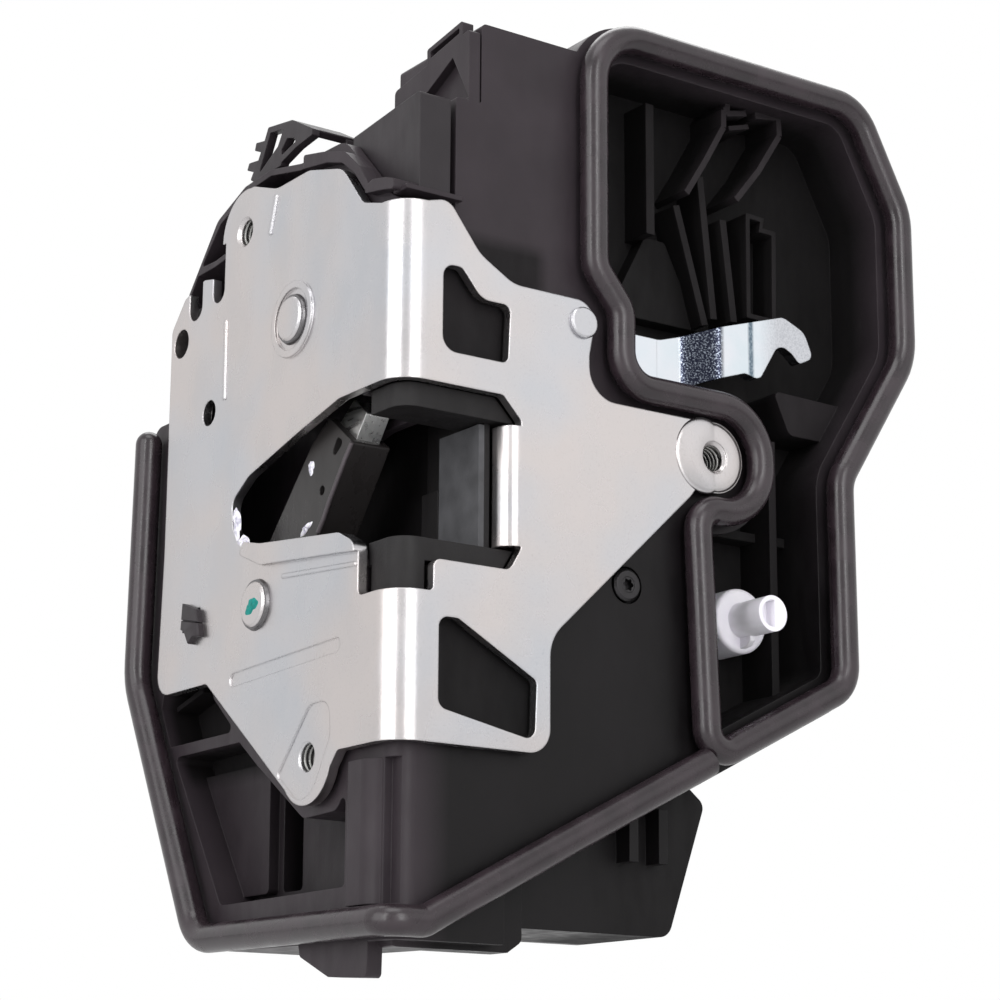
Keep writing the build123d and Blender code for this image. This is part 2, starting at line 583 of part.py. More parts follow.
# Snap arms in the recess, as points (x, z)
clip_arms = [
    [(82.6, 91.0), (82.4, 89.3), (81.5, 89.1), (81.4, 85.4), (76.4, 76.8), (71.6, 69.2)],
    [(94.0, 91.5), (94.0, 90.6), (89.8, 89.9)],
    [(94.0, 90.6), (96.1, 91.0), (96.2, 87.0), (90.4, 78.0), (84.4, 70.6)],
]
clip_arm_t = 1.3
slanted_ribs = [((71.3, 67.4), (78.3, 43.8)), ((77.5, 74.9), (80.6, 45.5)), ((83.3, 66.9), (85.8, 45.9))]


def strip(plane, start, end, thick):
    """A flat straight strip between two points (u, v) of a plane."""
    run_u = end[0] - start[0]
    run_v = end[1] - start[1]
    turn = degrees(atan2(run_v, run_u))
    with BuildSketch(plane) as band:
        with Locations(Location(((start[0] + end[0]) / 2, (start[1] + end[1]) / 2, 0), (0, 0, turn))):
            Rectangle(sqrt(run_u ** 2 + run_v ** 2), thick)
    return band.sketch


def rib(start, end, thick, y_low, y_high):
    """A straight rib between two points (x, z) of the inner face."""
    extrude(strip(face_plane(y_low), start, end, thick), amount=y_low - y_high)


def shut_rib(start, end, thick, x_low, x_high):
    """A straight rib between two points (y, z) of the shut face."""
    extrude(strip(Plane.YZ.offset(x_low), start, end, thick), amount=x_high - x_low)


with BuildPart() as main_housing:
    extrude(box_face(0, face_plane(face_y)), amount=face_y - box_depth)
    extrude(motor_face(0, face_plane(motor_bay_y)), amount=motor_bay_y - box_depth)
    shut_slab(shut_side, side_x, bay_depth)
    # Chamber for the lock drive, open to the back
    with BuildSketch(face_plane(face_y + wall)) as chamber:
        add(box_face(-wall, Plane.XY))
        with Locations((bay_depth, 0)):
            Rectangle(200, 110, align=(Align.MAX, Align.MAX), mode=Mode.SUBTRACT)
            Rectangle(200, 54, align=(Align.MAX, Align.MIN), mode=Mode.SUBTRACT)
    extrude(chamber.sketch, amount=face_y + wall - box_depth - 1, mode=Mode.SUBTRACT)
    with BuildSketch(face_plane(motor_bay_y + wall)) as drive_bay:
        add(motor_face(-wall, Plane.XY))
        with Locations((bay_depth, 0)):
            Rectangle(200, 200, align=(Align.MAX, Align.CENTER), mode=Mode.SUBTRACT)
    extrude(drive_bay.sketch, amount=motor_bay_y + wall - box_depth - 1, mode=Mode.SUBTRACT)
    for place in cover_screws:
        rod_y(place, cover_boss_r, face_y + 1, box_depth)
        rod_y(place, screw_hole_r, 22.0, box_depth + 1, Mode.SUBTRACT)
    # Recess, a tub let into the chamber
    extrude(recess_face(wall, face_plane(face_y)), amount=face_y - recess_floor_y - wall)
    extrude(recess_face(0, face_plane(0)), amount=-recess_floor_y, mode=Mode.SUBTRACT)
    # Bay for the latch case, passage for the lever's inner arm and the mouth
    case_ring(case_fit, -1, bay_depth - wall, Mode.SUBTRACT)
    block(case_front, bay_depth + 1, face_y + wall, 14.0, 23.0, 47.8, Mode.SUBTRACT)
    block(-1, bay_depth - wall, -1, 14.0, mouth_foot - 0.6, mouth_top + 0.6, Mode.SUBTRACT)
    block(bay_depth - wall, mouth_reach + 3.0, face_y, liner_back + wall, mouth_foot - 3.0, mouth_top + 3.0)
    face_slab([(-1.0, mouth_top + 0.6, 0), (23.2, mouth_top + 0.6, 1), (mouth_reach + 0.7, 13.8, 1),
               (mouth_reach + 0.7, -10.8, 1), (24.8, mouth_foot - 0.6, 1), (-1.0, mouth_foot - 0.6, 0)],
              -1, liner_back + gap, Mode.SUBTRACT)
    block(45.0, 54.0, lever_y - 0.6, lever_y + lever_t + 0.6, 26.0, 49.0, Mode.SUBTRACT)
    # Bosses and bores for the lever pin, the coupler and the wheel axle
    rod_y(lever_pivot, lever_pin_r + 1.0, face_y, lever_y - gap)
    rod_y(lever_pivot, lever_pin_r + gap, 0, lever_y, Mode.SUBTRACT)
    rod_y(coupler_axis, coupler_shaft_r + run_fit, recess_floor_y - 1, recess_floor_y + wall + 1,
          Mode.SUBTRACT)
    rod_y(wheel_axis, axle_r + 2, face_y + 1, axle_seat_y + 7)
    rod_y(wheel_axis, axle_r + run_fit, axle_seat_y, box_depth, Mode.SUBTRACT)
    rod_y(face_screw, 4.4, face_y, 13)
    rod_y(face_screw, 3.5, 0, face_y + 1.2, Mode.SUBTRACT)
    rod_y(face_screw, screw_hole_r, 0, 12, Mode.SUBTRACT)
    # Ribs, clip arms and shelf of the recess
    rib((64.8, 87.3), (64.8, 60.0), 2.0, rib_y, recess_floor_y)
    for start, end in slanted_ribs:
        rib(start, end, 1.6, rib_y, recess_floor_y)
    for path in clip_arms:
        for start, end in zip(path[:-1], path[1:]):
            rib(start, end, clip_arm_t, rib_y - 3, recess_floor_y)
    rib((82.2, 88.5), (87.4, 89.8), 1.2, rib_y - 3, rib_y)
    rib((83.6, 86.0), (88.8, 87.6), 1.0, rib_y - 2, recess_floor_y)
    face_slab([(89.2, 47.5, 0.4), (89.4, 69.8, 0.4), (94.2, 69.6, 0), (93.8, 67.4, 0), (97.3, 67.3, 0.4),
               (96.9, 47.5, 0.4)], rib_y, recess_floor_y)
    face_slab([(90.2, 48.5, 0.3), (90.4, 68.8, 0.3), (93.2, 68.6, 0), (92.8, 66.4, 0), (96.2, 66.3, 0.3),
               (95.9, 48.5, 0.3)], rib_y - 1, recess_floor_y - 1, Mode.SUBTRACT)
    face_slab([(94.0, 32.6, 1), (111.5, 32.2, 0), (106.5, 24.0, 0), (98.0, 24.0, 2)], 8.0, recess_floor_y)
    face_slab([(57.0, 43.5, 0), (66.0, 60.5, 1), (71.0, 60.5, 1), (79.5, 43.5, 0)], 13.5, recess_floor_y)
    rib((93.2, -34.5), (93.2, 22.0), 1.8, 8.0, recess_floor_y)
    rib((71.5, 3.0), (100.0, 3.0), 1.8, 12.5, recess_floor_y)
    # Open bays below the latch plate on the shut side
    for bay in lower_bays:
        shut_slab(bay, -1, lower_bay_x, Mode.SUBTRACT)
    shut_slab([(85.5, -44.0, 2), (67.5, -68.4, 2), (55.3, -68.4, 1), (55.6, -46.6, 1), (60.6, -43.8, 1)],
              lower_bay_x - 2.2, lower_bay_x)
    shut_slab([(53.8, -45.0, 1), (53.6, -68.2, 1), (46.6, -68.2, 1), (46.8, -49.5, 1)],
              lower_bay_x - 1, lower_bay_x + 9.0, Mode.SUBTRACT)
    shut_rib((88.6, -29.8), (78.0, -27.2), 1.0, lower_bay_x - 5, lower_bay_x)
    # Rounded corner under the bend of the plate
    with BuildSketch(Plane.XY.offset(-90)) as corner:
        with Locations((side_x, face_y)):
            Rectangle(2 * corner_r, 2 * corner_r)
        with Locations((side_x + corner_r, face_y + corner_r)):
            Circle(corner_r, mode=Mode.SUBTRACT)
    extrude(corner.sketch, amount=150, mode=Mode.SUBTRACT)
    # Rounded column below the plate, set back from the inner face
    block(-1, panel_edge_x, -1, column_y, column_foot, column_top, Mode.SUBTRACT)
    with BuildSketch(Plane.XY.offset(column_foot)) as column:
        with Locations((column_x, column_y)):
            Rectangle(2 * column_r, 2 * column_r, align=(Align.MIN, Align.MIN))
            Rectangle(column_r, column_r, align=(Align.MIN, Align.MIN), mode=Mode.SUBTRACT)
        with Locations((column_x + column_r, column_y + column_r)):
            Circle(column_r)
    extrude(column.sketch, amount=column_top - column_foot)
    # Tabs under the lower edge
    face_slab([(5.0, -76.0, 0), (5.0, -81.0, 1), (29.0, -81.0, 0), (32.0, -79.0, 1.5), (32.0, -66.0, 0)],
              column_y, 12.0)
    shut_slab([(11.0, -76.0, 0), (11.3, -86.1, 1), (23.8, -85.4, 1), (33.6, -81.4, 1), (35.0, -76.0, 0)],
              side_x, side_x + 3.0)
    # Bearing post of the worm shaft, cradle of the motor and posts of the contact carrier
    block(worm_start - 3.5, worm_start - 1.2, face_y + 1, 25.0, worm_z - 3.5, worm_z + 3.5)
    rod_x((worm_y, worm_z), shaft_r + run_fit, worm_start - 3, motor_x, Mode.SUBTRACT)
    for seat_x in (motor_x + 2, motor_x + motor_len - 4):
        block(seat_x, seat_x + 2, face_y + 1, worm_y - motor_flat - gap, worm_z - 5, worm_z + 5)
    for place in carrier_posts:
        rod_y(place, 2.2, recess_floor_y + wall - 1, carrier_y)
    # Seat of the guide box and window for the socket in the top wall
    block(guide_x - 0.4, 13.9, 0, guide_back + 0.4, guide_foot - gap, 80.0, Mode.SUBTRACT)
    block(socket_side[0] - gap, socket_side[1] + gap, socket_front - gap, socket_back + gap,
          socket_top - 6, socket_top + 2, Mode.SUBTRACT)
    # Upright flange beside the guide box, with a loop on top and a pocket in its face
    shut_slab([(face_y, 74.0, 0), (face_y, 88.2, 0.6), (17.2, 85.9, 0), (28.5, 84.2, 1), (28.5, 74.0, 0)],
              flange_x, flange_x + flange_t)
    block(flange_x + flange_t - 0.1, 19.6, 6.5, 28.5, 74.0, 84.0)
    shut_slab([(5.3, 86.0, 0), (5.3, 90.7, 0.5), (17.3, 89.0, 0.5), (17.2, 84.0, 0)],
              flange_x, flange_x + flange_t)
    shut_slab([(6.4, 88.5, 0.3), (6.4, 89.6, 0.3), (16.2, 88.2, 0.3), (16.2, 86.9, 0.3)],
              flange_x - 1, flange_x + flange_t + 1, Mode.SUBTRACT)
    shut_slab([(8.5, 84.3, 0), (24.0, 77.1, 0), (24.0, 74.6, 0), (face_y + 0.1, 74.6, 0)],
              flange_x - 1, flange_x + flange_t - 0.6, Mode.SUBTRACT)
    # Lips of the housing along the top edge of the plate
    shut_slab(left_lip, lip_x, side_x + 1)
    shut_slab([(3.5, 53.2, 0.5), (7.2, 54.1, 1), (13.0, 55.2, 0.5), (13.4, 56.6, 0.5), (10.6, 57.2, 2),
               (6.2, 56.2, 1), (3.5, 55.2, 0.5)], lip_x, side_x + 3)
    face_slab([(2.4, 53.2, 0.3), (14.6, 53.2, 0), (14.6, guide_foot - gap, 0), (2.4, guide_foot - gap, 0.3)],
              1.6, 6.0)
    # Hollows of the shut side above and beside the plate
    for hollow in upper_hollows:
        shut_slab(hollow, -1, upper_hollow_x, Mode.SUBTRACT)
    rod_x(edge_hole, edge_collar_r + gap, -1, plate_t + edge_collar_len + gap, Mode.SUBTRACT)
    rod_x(edge_hole, edge_hole_r + 0.2, -1, 14.0, Mode.SUBTRACT)
    block(-1, notch_reach + 0.6, -1, liner_back + gap, notch_foot - 0.4, mouth_foot, Mode.SUBTRACT)
    # Wells round the threaded collars of the plate
    for place in (upper_screw, lower_screw):
        rod_x(place, collar_r + gap, -1, plate_t + collar_len + gap, Mode.SUBTRACT)
        rod_x(place, screw_core_r + 0.7, -1, 16.0, Mode.SUBTRACT)
    rod_y(side_screw, collar_r + gap, -1, plate_t + collar_len + gap, Mode.SUBTRACT)
    rod_y(side_screw, screw_core_r + 0.7, -1, 16.0, Mode.SUBTRACT)
keep(main_housing, "main_housing")

# Lid of the actuator chamber
with BuildPart() as actuator_cover:
    with BuildSketch(face_plane(box_depth)) as lid:
        add(box_face(0, Plane.XY))
        add(motor_face(0, Plane.XY))
        with Locations((bay_depth + gap, 0)):
            Rectangle(200, 300, align=(Align.MAX, Align.CENTER), mode=Mode.SUBTRACT)
    extrude(lid.sketch, amount=-cover_t)
    for place in cover_screws:
        rod_y(place, screw_hole_r + 0.2, box_depth - 1, box_depth + cover_t + 1, Mode.SUBTRACT)
keep(actuator_cover, "actuator_cover")

# Seal, a round cord bonded to the rim of the recess and to the lower edge
with BuildPart() as seal:
    with BuildLine() as loop:
        FilletPolyline(*[(x, 0, z) for x, z, r in seal_loop], radius=[r for x, z, r in seal_loop], close=True)
    with BuildSketch(Plane(origin=loop.line @ 0, z_dir=loop.line % 0)):
        Circle(seal_r)
    sweep(path=loop.line)
    with BuildLine() as run:
        FilletPolyline((0, 93.6, 25.0), (0, 94.6, -24.0), (0, 66.0, -76.6), (0, 0, seal_foot),
                       (7.0, 0, seal_foot), (69.4, 0, -44.8), radius=[14, 8, 3.4, 2.5])
    with BuildSketch(Plane(origin=run.line @ 0, z_dir=run.line % 0)):
        Circle(seal_r)
    sweep(path=run.line)
    with Locations((0, 93.6, 25.0)):
        Sphere(seal_r)
keep(seal, "seal")

# Plastic lining of the mouth and the damping pad on its end wall
with BuildPart() as mouth_liner:
    face_slab([(liner_x, mouth_foot, 0), (liner_x, mouth_top, 0), (22.5, mouth_top, 1),
               (mouth_reach - 0.2, 13.5, 0.5), (mouth_reach - 0.2, -10.5, 0.5), (24.2, mouth_foot, 1)],
              liner_y, liner_back)
    block(-1, mouth_reach, -1, liner_back + 1, liner_foot, liner_top, Mode.SUBTRACT)
    block(liner_end - pad_t, liner_end, roll_r + roll_len + gap, liner_depth, mouth_foot + 1, mouth_top - 1)
    block(liner_end - 2 * pad_t, liner_end, pad_end + gap, liner_depth, -7.6, 3.2)
    block(liner_x, notch_reach - gap, liner_y, 11.4, notch_foot + gap, liner_foot)
    with BuildSketch(Plane.XY.offset(notch_foot - 1)) as corner:
        with Locations((liner_x, liner_y)):
            Rectangle(2 * corner_r, 2 * corner_r)
        with Locations((liner_x + corner_r, liner_y + corner_r)):
            Circle(corner_r, mode=Mode.SUBTRACT)
    extrude(corner.sketch, amount=50, mode=Mode.SUBTRACT)
keep(mouth_liner, "mouth_liner")

with BuildPart() as mouth_bumper:
    block(liner_end - 2 * pad_t, liner_end - pad_t, roll_r + roll_len + gap, pad_end, liner_foot + gap,
          liner_top - gap)
keep(mouth_bumper, "mouth_bumper")

# Connector socket let into the top of the housing
with BuildPart() as connector_shroud:
    block(*socket_side, socket_front, socket_back, socket_low, socket_top)
    block(socket_side[0] + socket_wall, socket_side[1] - socket_wall, socket_front + socket_wall,
          socket_back - socket_wall, socket_low + 2, socket_top + 1, Mode.SUBTRACT)
    for pin_x in terminal_x:
        for pin_y in terminal_rows:
            block(pin_x - terminal_w / 2 - run_fit, pin_x + terminal_w / 2 + run_fit,
                  pin_y - terminal_w / 2 - run_fit, pin_y + terminal_w / 2 + run_fit,
                  socket_low - 1, socket_low + 3, Mode.SUBTRACT)
keep(connector_shroud, "connector_shroud")

with BuildPart() as connector_terminals:
    for pin_x in terminal_x:
        for pin_y, low_z in zip(terminal_rows, leg_z):
            block(pin_x - terminal_w / 2, pin_x + terminal_w / 2, pin_y - terminal_w / 2,
                  pin_y + terminal_w / 2, low_z - terminal_w / 2, socket_top - 4)
            block(pin_x - terminal_w / 2, pin_x + terminal_w / 2, pin_y, carrier_y - run_fit,
                  low_z - terminal_w / 2, low_z + terminal_w / 2)
keep(connector_terminals, "connector_terminals")

# Guide box beside the corner of the plate, open from below
with BuildPart() as connector_guide:
    shut_slab([(face_y, guide_foot, 0), (face_y, 73.4, 0.8), (guide_back, 71.4, 0.5),
               (guide_back, guide_foot, 0)], guide_x, guide_x + guide_w)
    block(guide_x + guide_wall, guide_x + guide_w - guide_wall, face_y + 2 * guide_wall,
          guide_back - guide_wall, guide_foot - 1, 70.0, Mode.SUBTRACT)
keep(connector_guide, "connector_guide")

# Toothed guide above the shut face, an open frame with a roof behind it
guide_frame = [
    (45.8, 81.2, 0.8), (55.2, 82.7, 0.5), (56.6, 80.3, 0), (59.9, 80.9, 0.3), (60.4, 79.4, 0.3),
    (57.9, 78.4, 0), (58.9, 76.9, 0), (62.5, 77.4, 0.3), (63.3, 76.1, 0.3), (60.7, 75.0, 0),
    (61.8, 73.6, 0.3), (60.6, 72.9, 0), (50.0, 72.9, 0), (49.6, 73.6, 0), (44.0, 75.0, 2),
    (38.2, 75.6, 0.3), (38.2, 77.0, 0.3),
]
frame_hollows = [
    [(54.4, 81.3, 0.3), (49.2, 80.4, 0.3), (51.2, 77.4, 0.3), (58.6, 73.8, 0.3), (57.6, 75.6, 0.3)],
    [(47.6, 78.0, 0.3), (44.6, 77.0, 0.3), (44.4, 76.2, 0.3), (49.6, 75.0, 0.3), (49.8, 76.2, 0.3)],
]
with BuildPart() as top_guide:
    shut_slab(guide_frame, side_x + 1, side_x + 2.8)
    for hollow in frame_hollows:
        shut_slab(hollow, side_x, side_x + 4, Mode.SUBTRACT)
    shut_slab([(45.8, 81.2, 0.5), (47.4, 80.6, 0.3), (39.4, 75.9, 0.3), (38.2, 77.0, 0.3)],
              side_x + 1, side_x + 12)
    shut_slab([(38.4, 76.6, 0), (38.4, 70.3, 0), (40.4, 70.5, 0), (40.4, 76.6, 0)], side_x + 9, side_x + 11)
keep(top_guide, "top_guide")


def gear(centre, teeth, root_r, tip_r, root_w, tip_w, aim, y_low, y_high):
    """Straight gear with plain tapered teeth, one of them pointing along a direction."""
    with BuildSketch() as tooth:
        with BuildLine():
            Polyline((root_r - 0.4, -root_w / 2), (root_r, -root_w / 2), (tip_r, -tip_w / 2),
                     (tip_r, tip_w / 2), (root_r, root_w / 2), (root_r - 0.4, root_w / 2), close=True)
        make_face()
    with BuildSketch(Plane(origin=(centre[0], y_low, centre[1]), x_dir=(1, 0, 0), z_dir=(0, -1, 0))) as blank:
        Circle(root_r)
        with PolarLocations(0, teeth, start_angle=aim):
            add(tooth.sketch)
    extrude(blank.sketch, amount=y_low - y_high)


# Worm wheel with its pinion
with BuildPart() as lock_wheel:
    gear(wheel_axis, wheel_teeth, wheel_r - 1.1, wheel_r + 0.7, 1.5, 0.7, -90, wheel_y, wheel_y + wheel_t)
    gear(wheel_axis, pinion_teeth, pinion_r - 1.1, pinion_r + 0.7, 1.5, 0.7, 0, wheel_y - 4.5, wheel_y)
    rod_y(wheel_axis, axle_r + run_fit, wheel_y - 5, wheel_y + wheel_t + 1, Mode.SUBTRACT)
keep(lock_wheel, "lock_wheel")

with BuildPart() as wheel_axle:
    rod_y(wheel_axis, axle_r, axle_seat_y, box_depth)
    chamfer(wheel_axle.faces().sort_by(Axis.Y)[0].edges(), 0.3)
keep(wheel_axle, "wheel_axle")

# Rack slider that the pinion drives
with BuildPart() as lock_slider:
    rack_x = wheel_axis[0] + pinion_r
    block(rack_x + 1.1, rack_x + 4.5, wheel_y - 4.5, wheel_y - 0.5, wheel_axis[1] - 9.0, 18.0)
    for step in range(-3, 3):
        tooth_z = wheel_axis[1] + (step + 0.5) * tooth_pitch
        face_slab([(rack_x + 1.2, tooth_z - 0.75, 0), (rack_x - 0.7, tooth_z - 0.35, 0),
                   (rack_x - 0.7, tooth_z + 0.35, 0), (rack_x + 1.2, tooth_z + 0.75, 0)],
                  wheel_y - 4.5, wheel_y - 0.5)
    block(rack_x - 3.0, rack_x + 4.5, wheel_y - 4.5, wheel_y - 0.5, 14.0, 18.0)
keep(lock_slider, "lock_slider")

# Worm on its shaft
with BuildPart() as motor_worm:
    rod_x((worm_y, worm_z), shaft_r, worm_start - 2.8, motor_x + 3.0)
    rod_x((worm_y, worm_z), worm_pitch_r - 1.0, worm_start - 0.9, worm_start + worm_turns * tooth_pitch + 0.9)
    with BuildLine() as thread:
        Helix(tooth_pitch, tooth_pitch * worm_turns, worm_pitch_r, center=(worm_start, worm_y, worm_z),
              direction=(1, 0, 0))
    start = thread.line @ 0
    outward = (start - Vector(worm_start, worm_y, worm_z)).normalized()
    with BuildSketch(Plane(origin=start, x_dir=outward, z_dir=thread.line % 0)) as tooth:
        with BuildLine():
            Polyline((-1.2, -0.75), (0.8, -0.3), (0.8, 0.3), (-1.2, 0.75), close=True)
        make_face()
    sweep(tooth.sketch, path=thread.line, is_frenet=True)
keep(motor_worm, "motor_worm")

# Lock motor
with BuildPart() as lock_motor:
    rod_x((worm_y, worm_z), motor_r, motor_x, motor_x + motor_len)
    block(motor_x - 1, motor_x + motor_len + 1, worm_y - motor_flat, worm_y + motor_flat,
          worm_z - motor_r - 1, worm_z + motor_r + 1, Mode.INTERSECT)
    rod_x((worm_y, worm_z), 2.6, motor_x - 1.0, motor_x)
    rod_x((worm_y, worm_z), shaft_r + run_fit, motor_x - 2, motor_x + 4, Mode.SUBTRACT)
keep(lock_motor, "lock_motor")

with BuildPart() as motor_end_cap:
    rod_x((worm_y, worm_z), motor_r - 1.4, motor_x + motor_len, motor_x + motor_len + 1.6)
    block(motor_x, motor_x + motor_len + 2, worm_y - motor_flat + 0.4, worm_y + motor_flat - 0.4,
          worm_z - motor_r, worm_z + motor_r, Mode.INTERSECT)
keep(motor_end_cap, "motor_end_cap")

# White coupler and the cam on its inner end
with BuildPart() as lock_coupler:
    rod_y(coupler_axis, coupler_r, coupler_front, recess_floor_y - gap)
    fillet(lock_coupler.faces().sort_by(Axis.Y)[0].edges(), 1.0)
    rod_y(coupler_axis, stub_r, stub_end, coupler_front + 1)
    # Half-round pocket in the end of the stub
    with BuildSketch(face_plane(stub_end - 1)) as pocket:
        with Locations(coupler_axis):
            Circle(stub_r - 0.9)
        with Locations((coupler_axis[0] + 0.4, coupler_axis[1])):
            Rectangle(2 * stub_r, 2 * stub_r, align=(Align.MIN, Align.CENTER), mode=Mode.SUBTRACT)
    extrude(pocket.sketch, amount=-3.5, mode=Mode.SUBTRACT)
    rod_y(coupler_axis, coupler_shaft_r, recess_floor_y - gap, cam_y)
keep(lock_coupler, "lock_coupler")

with BuildPart() as coupler_cam:
    rod_y(coupler_axis, coupler_r, cam_y, cam_y + 3.0)
    face_slab([(coupler_axis[0] - 3, coupler_axis[1], 0), (coupler_axis[0] + 3, coupler_axis[1], 0),
               (coupler_axis[0] + 1.8, coupler_axis[1] + 13, 1.6),
               (coupler_axis[0] - 1.8, coupler_axis[1] + 13, 1.6)], cam_y, cam_y + 3.0)
keep(coupler_cam, "coupler_cam")

# Contact carrier with its two switches
with BuildPart() as contact_carrier:
    face_slab([(52.0, 44.0, 2), (52.0, 70.5, 2), (25.0, 70.5, 2), (25.0, 87.0, 2), (100.0, 87.0, 6),
               (112.0, 66.0, 4), (112.0, 22.0, 4), (97.0, 22.0, 2), (97.0, 44.0, 3)],
              carrier_y, carrier_y + carrier_t)
    for x in (29.0, 33.0):
        block(x - 0.8, x + 0.8, carrier_y + carrier_t, carrier_y + carrier_t + 0.8, 76.0, 86.0)
    for place in cover_screws:
        rod_y(place, cover_boss_r + gap, carrier_y - 1, carrier_y + carrier_t + 1, Mode.SUBTRACT)
keep(contact_carrier, "contact_carrier")

with BuildPart() as microswitches:
    for place in ((74.0, 58.0), (104.0, 46.0)):
        block(place[0] - 4, place[0] + 4, carrier_y + carrier_t, carrier_y + carrier_t + switch_h,
              place[1] - 6.5, place[1] + 6.5)
        block(place[0] - 0.8, place[0] + 0.8, carrier_y + carrier_t + 1.8, carrier_y + carrier_t + 3.8,
              place[1] - 8.0, place[1] - 6.5)
keep(microswitches, "microswitches")

# Blackened screw of the inner face
with BuildPart() as front_screw:
    rod_y(face_screw, 3.1, face_y - 0.6, face_y + 1.2)
    chamfer(front_screw.faces().sort_by(Axis.Y)[0].edges(), 0.5)
    rod_y(face_screw, 1.5, face_y - 1, face_y + 0.6, Mode.SUBTRACT)
    rod_y(face_screw, screw_hole_r - 0.1, face_y + 1.2, 11.0)
keep(front_screw, "front_screw")

# Screws of the cover
with BuildPart() as housing_screws:
    for place in cover_screws:
        rod_y(place, 3.0, box_depth + cover_t, box_depth + cover_t + 1.8)
        rod_y(place, screw_hole_r - 0.1, 24.0, box_depth + cover_t)
keep(housing_screws, "housing_screws")
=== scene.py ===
"""Looks of the door latch actuator: finishes, fine detail, camera and light, in metres."""
import json
import math

import bmesh
import bpy
from mathutils import Matrix, Vector


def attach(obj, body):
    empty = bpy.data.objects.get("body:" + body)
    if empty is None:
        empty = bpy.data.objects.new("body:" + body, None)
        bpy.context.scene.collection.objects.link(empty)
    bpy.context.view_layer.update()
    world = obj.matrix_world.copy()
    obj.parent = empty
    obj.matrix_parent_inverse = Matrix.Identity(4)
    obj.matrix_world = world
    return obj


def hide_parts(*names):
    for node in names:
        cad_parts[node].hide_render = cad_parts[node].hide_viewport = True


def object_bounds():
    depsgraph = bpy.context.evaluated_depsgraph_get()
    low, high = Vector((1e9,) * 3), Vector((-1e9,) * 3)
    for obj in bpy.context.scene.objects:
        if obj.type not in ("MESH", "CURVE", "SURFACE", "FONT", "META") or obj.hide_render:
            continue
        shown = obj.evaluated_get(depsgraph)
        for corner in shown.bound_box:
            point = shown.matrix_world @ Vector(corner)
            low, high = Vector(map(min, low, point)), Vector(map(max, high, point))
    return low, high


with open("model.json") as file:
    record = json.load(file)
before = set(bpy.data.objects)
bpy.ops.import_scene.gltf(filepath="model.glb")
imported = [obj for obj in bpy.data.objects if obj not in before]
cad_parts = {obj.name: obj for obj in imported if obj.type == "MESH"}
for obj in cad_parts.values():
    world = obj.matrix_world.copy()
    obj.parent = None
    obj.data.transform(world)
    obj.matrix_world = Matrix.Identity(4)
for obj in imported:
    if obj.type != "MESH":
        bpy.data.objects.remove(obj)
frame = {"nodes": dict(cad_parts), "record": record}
cad_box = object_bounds()
MM = 0.001

# Camera of the photograph
CAMERA_PLACE = Vector((-234.9, -367.1, -113.8)) * MM
CAMERA_YAW = math.radians(35.0)
CAMERA_PITCH = math.radians(14.0)
CAMERA_ROLL = math.radians(0.35)
CAMERA_LENS = 93.4
SENSOR = 36.0
FLOOR_DROP = 95.0 * MM      # the floor lies this far under the part, out of the camera's way

LEVER_CRANK = (70.6, 77.6)  # start and end of the lever's crank in x, in millimetres


def aim_camera():
    data = bpy.data.cameras.new("camera")
    data.lens = CAMERA_LENS
    data.sensor_width = SENSOR
    data.sensor_fit = "HORIZONTAL"
    camera = bpy.data.objects.new("camera", data)
    bpy.context.scene.collection.objects.link(camera)
    forward = Vector((math.sin(CAMERA_YAW) * math.cos(CAMERA_PITCH),
                      math.cos(CAMERA_YAW) * math.cos(CAMERA_PITCH), math.sin(CAMERA_PITCH)))
    level = Vector((math.cos(CAMERA_YAW), -math.sin(CAMERA_YAW), 0.0))
    raised = level.cross(forward)
    right = level * math.cos(CAMERA_ROLL) + raised * math.sin(CAMERA_ROLL)
    upward = raised * math.cos(CAMERA_ROLL) - level * math.sin(CAMERA_ROLL)
    turn = Matrix((right, upward, -forward)).transposed().to_4x4()
    camera.matrix_world = Matrix.Translation(CAMERA_PLACE) @ turn
    bpy.context.scene.camera = camera


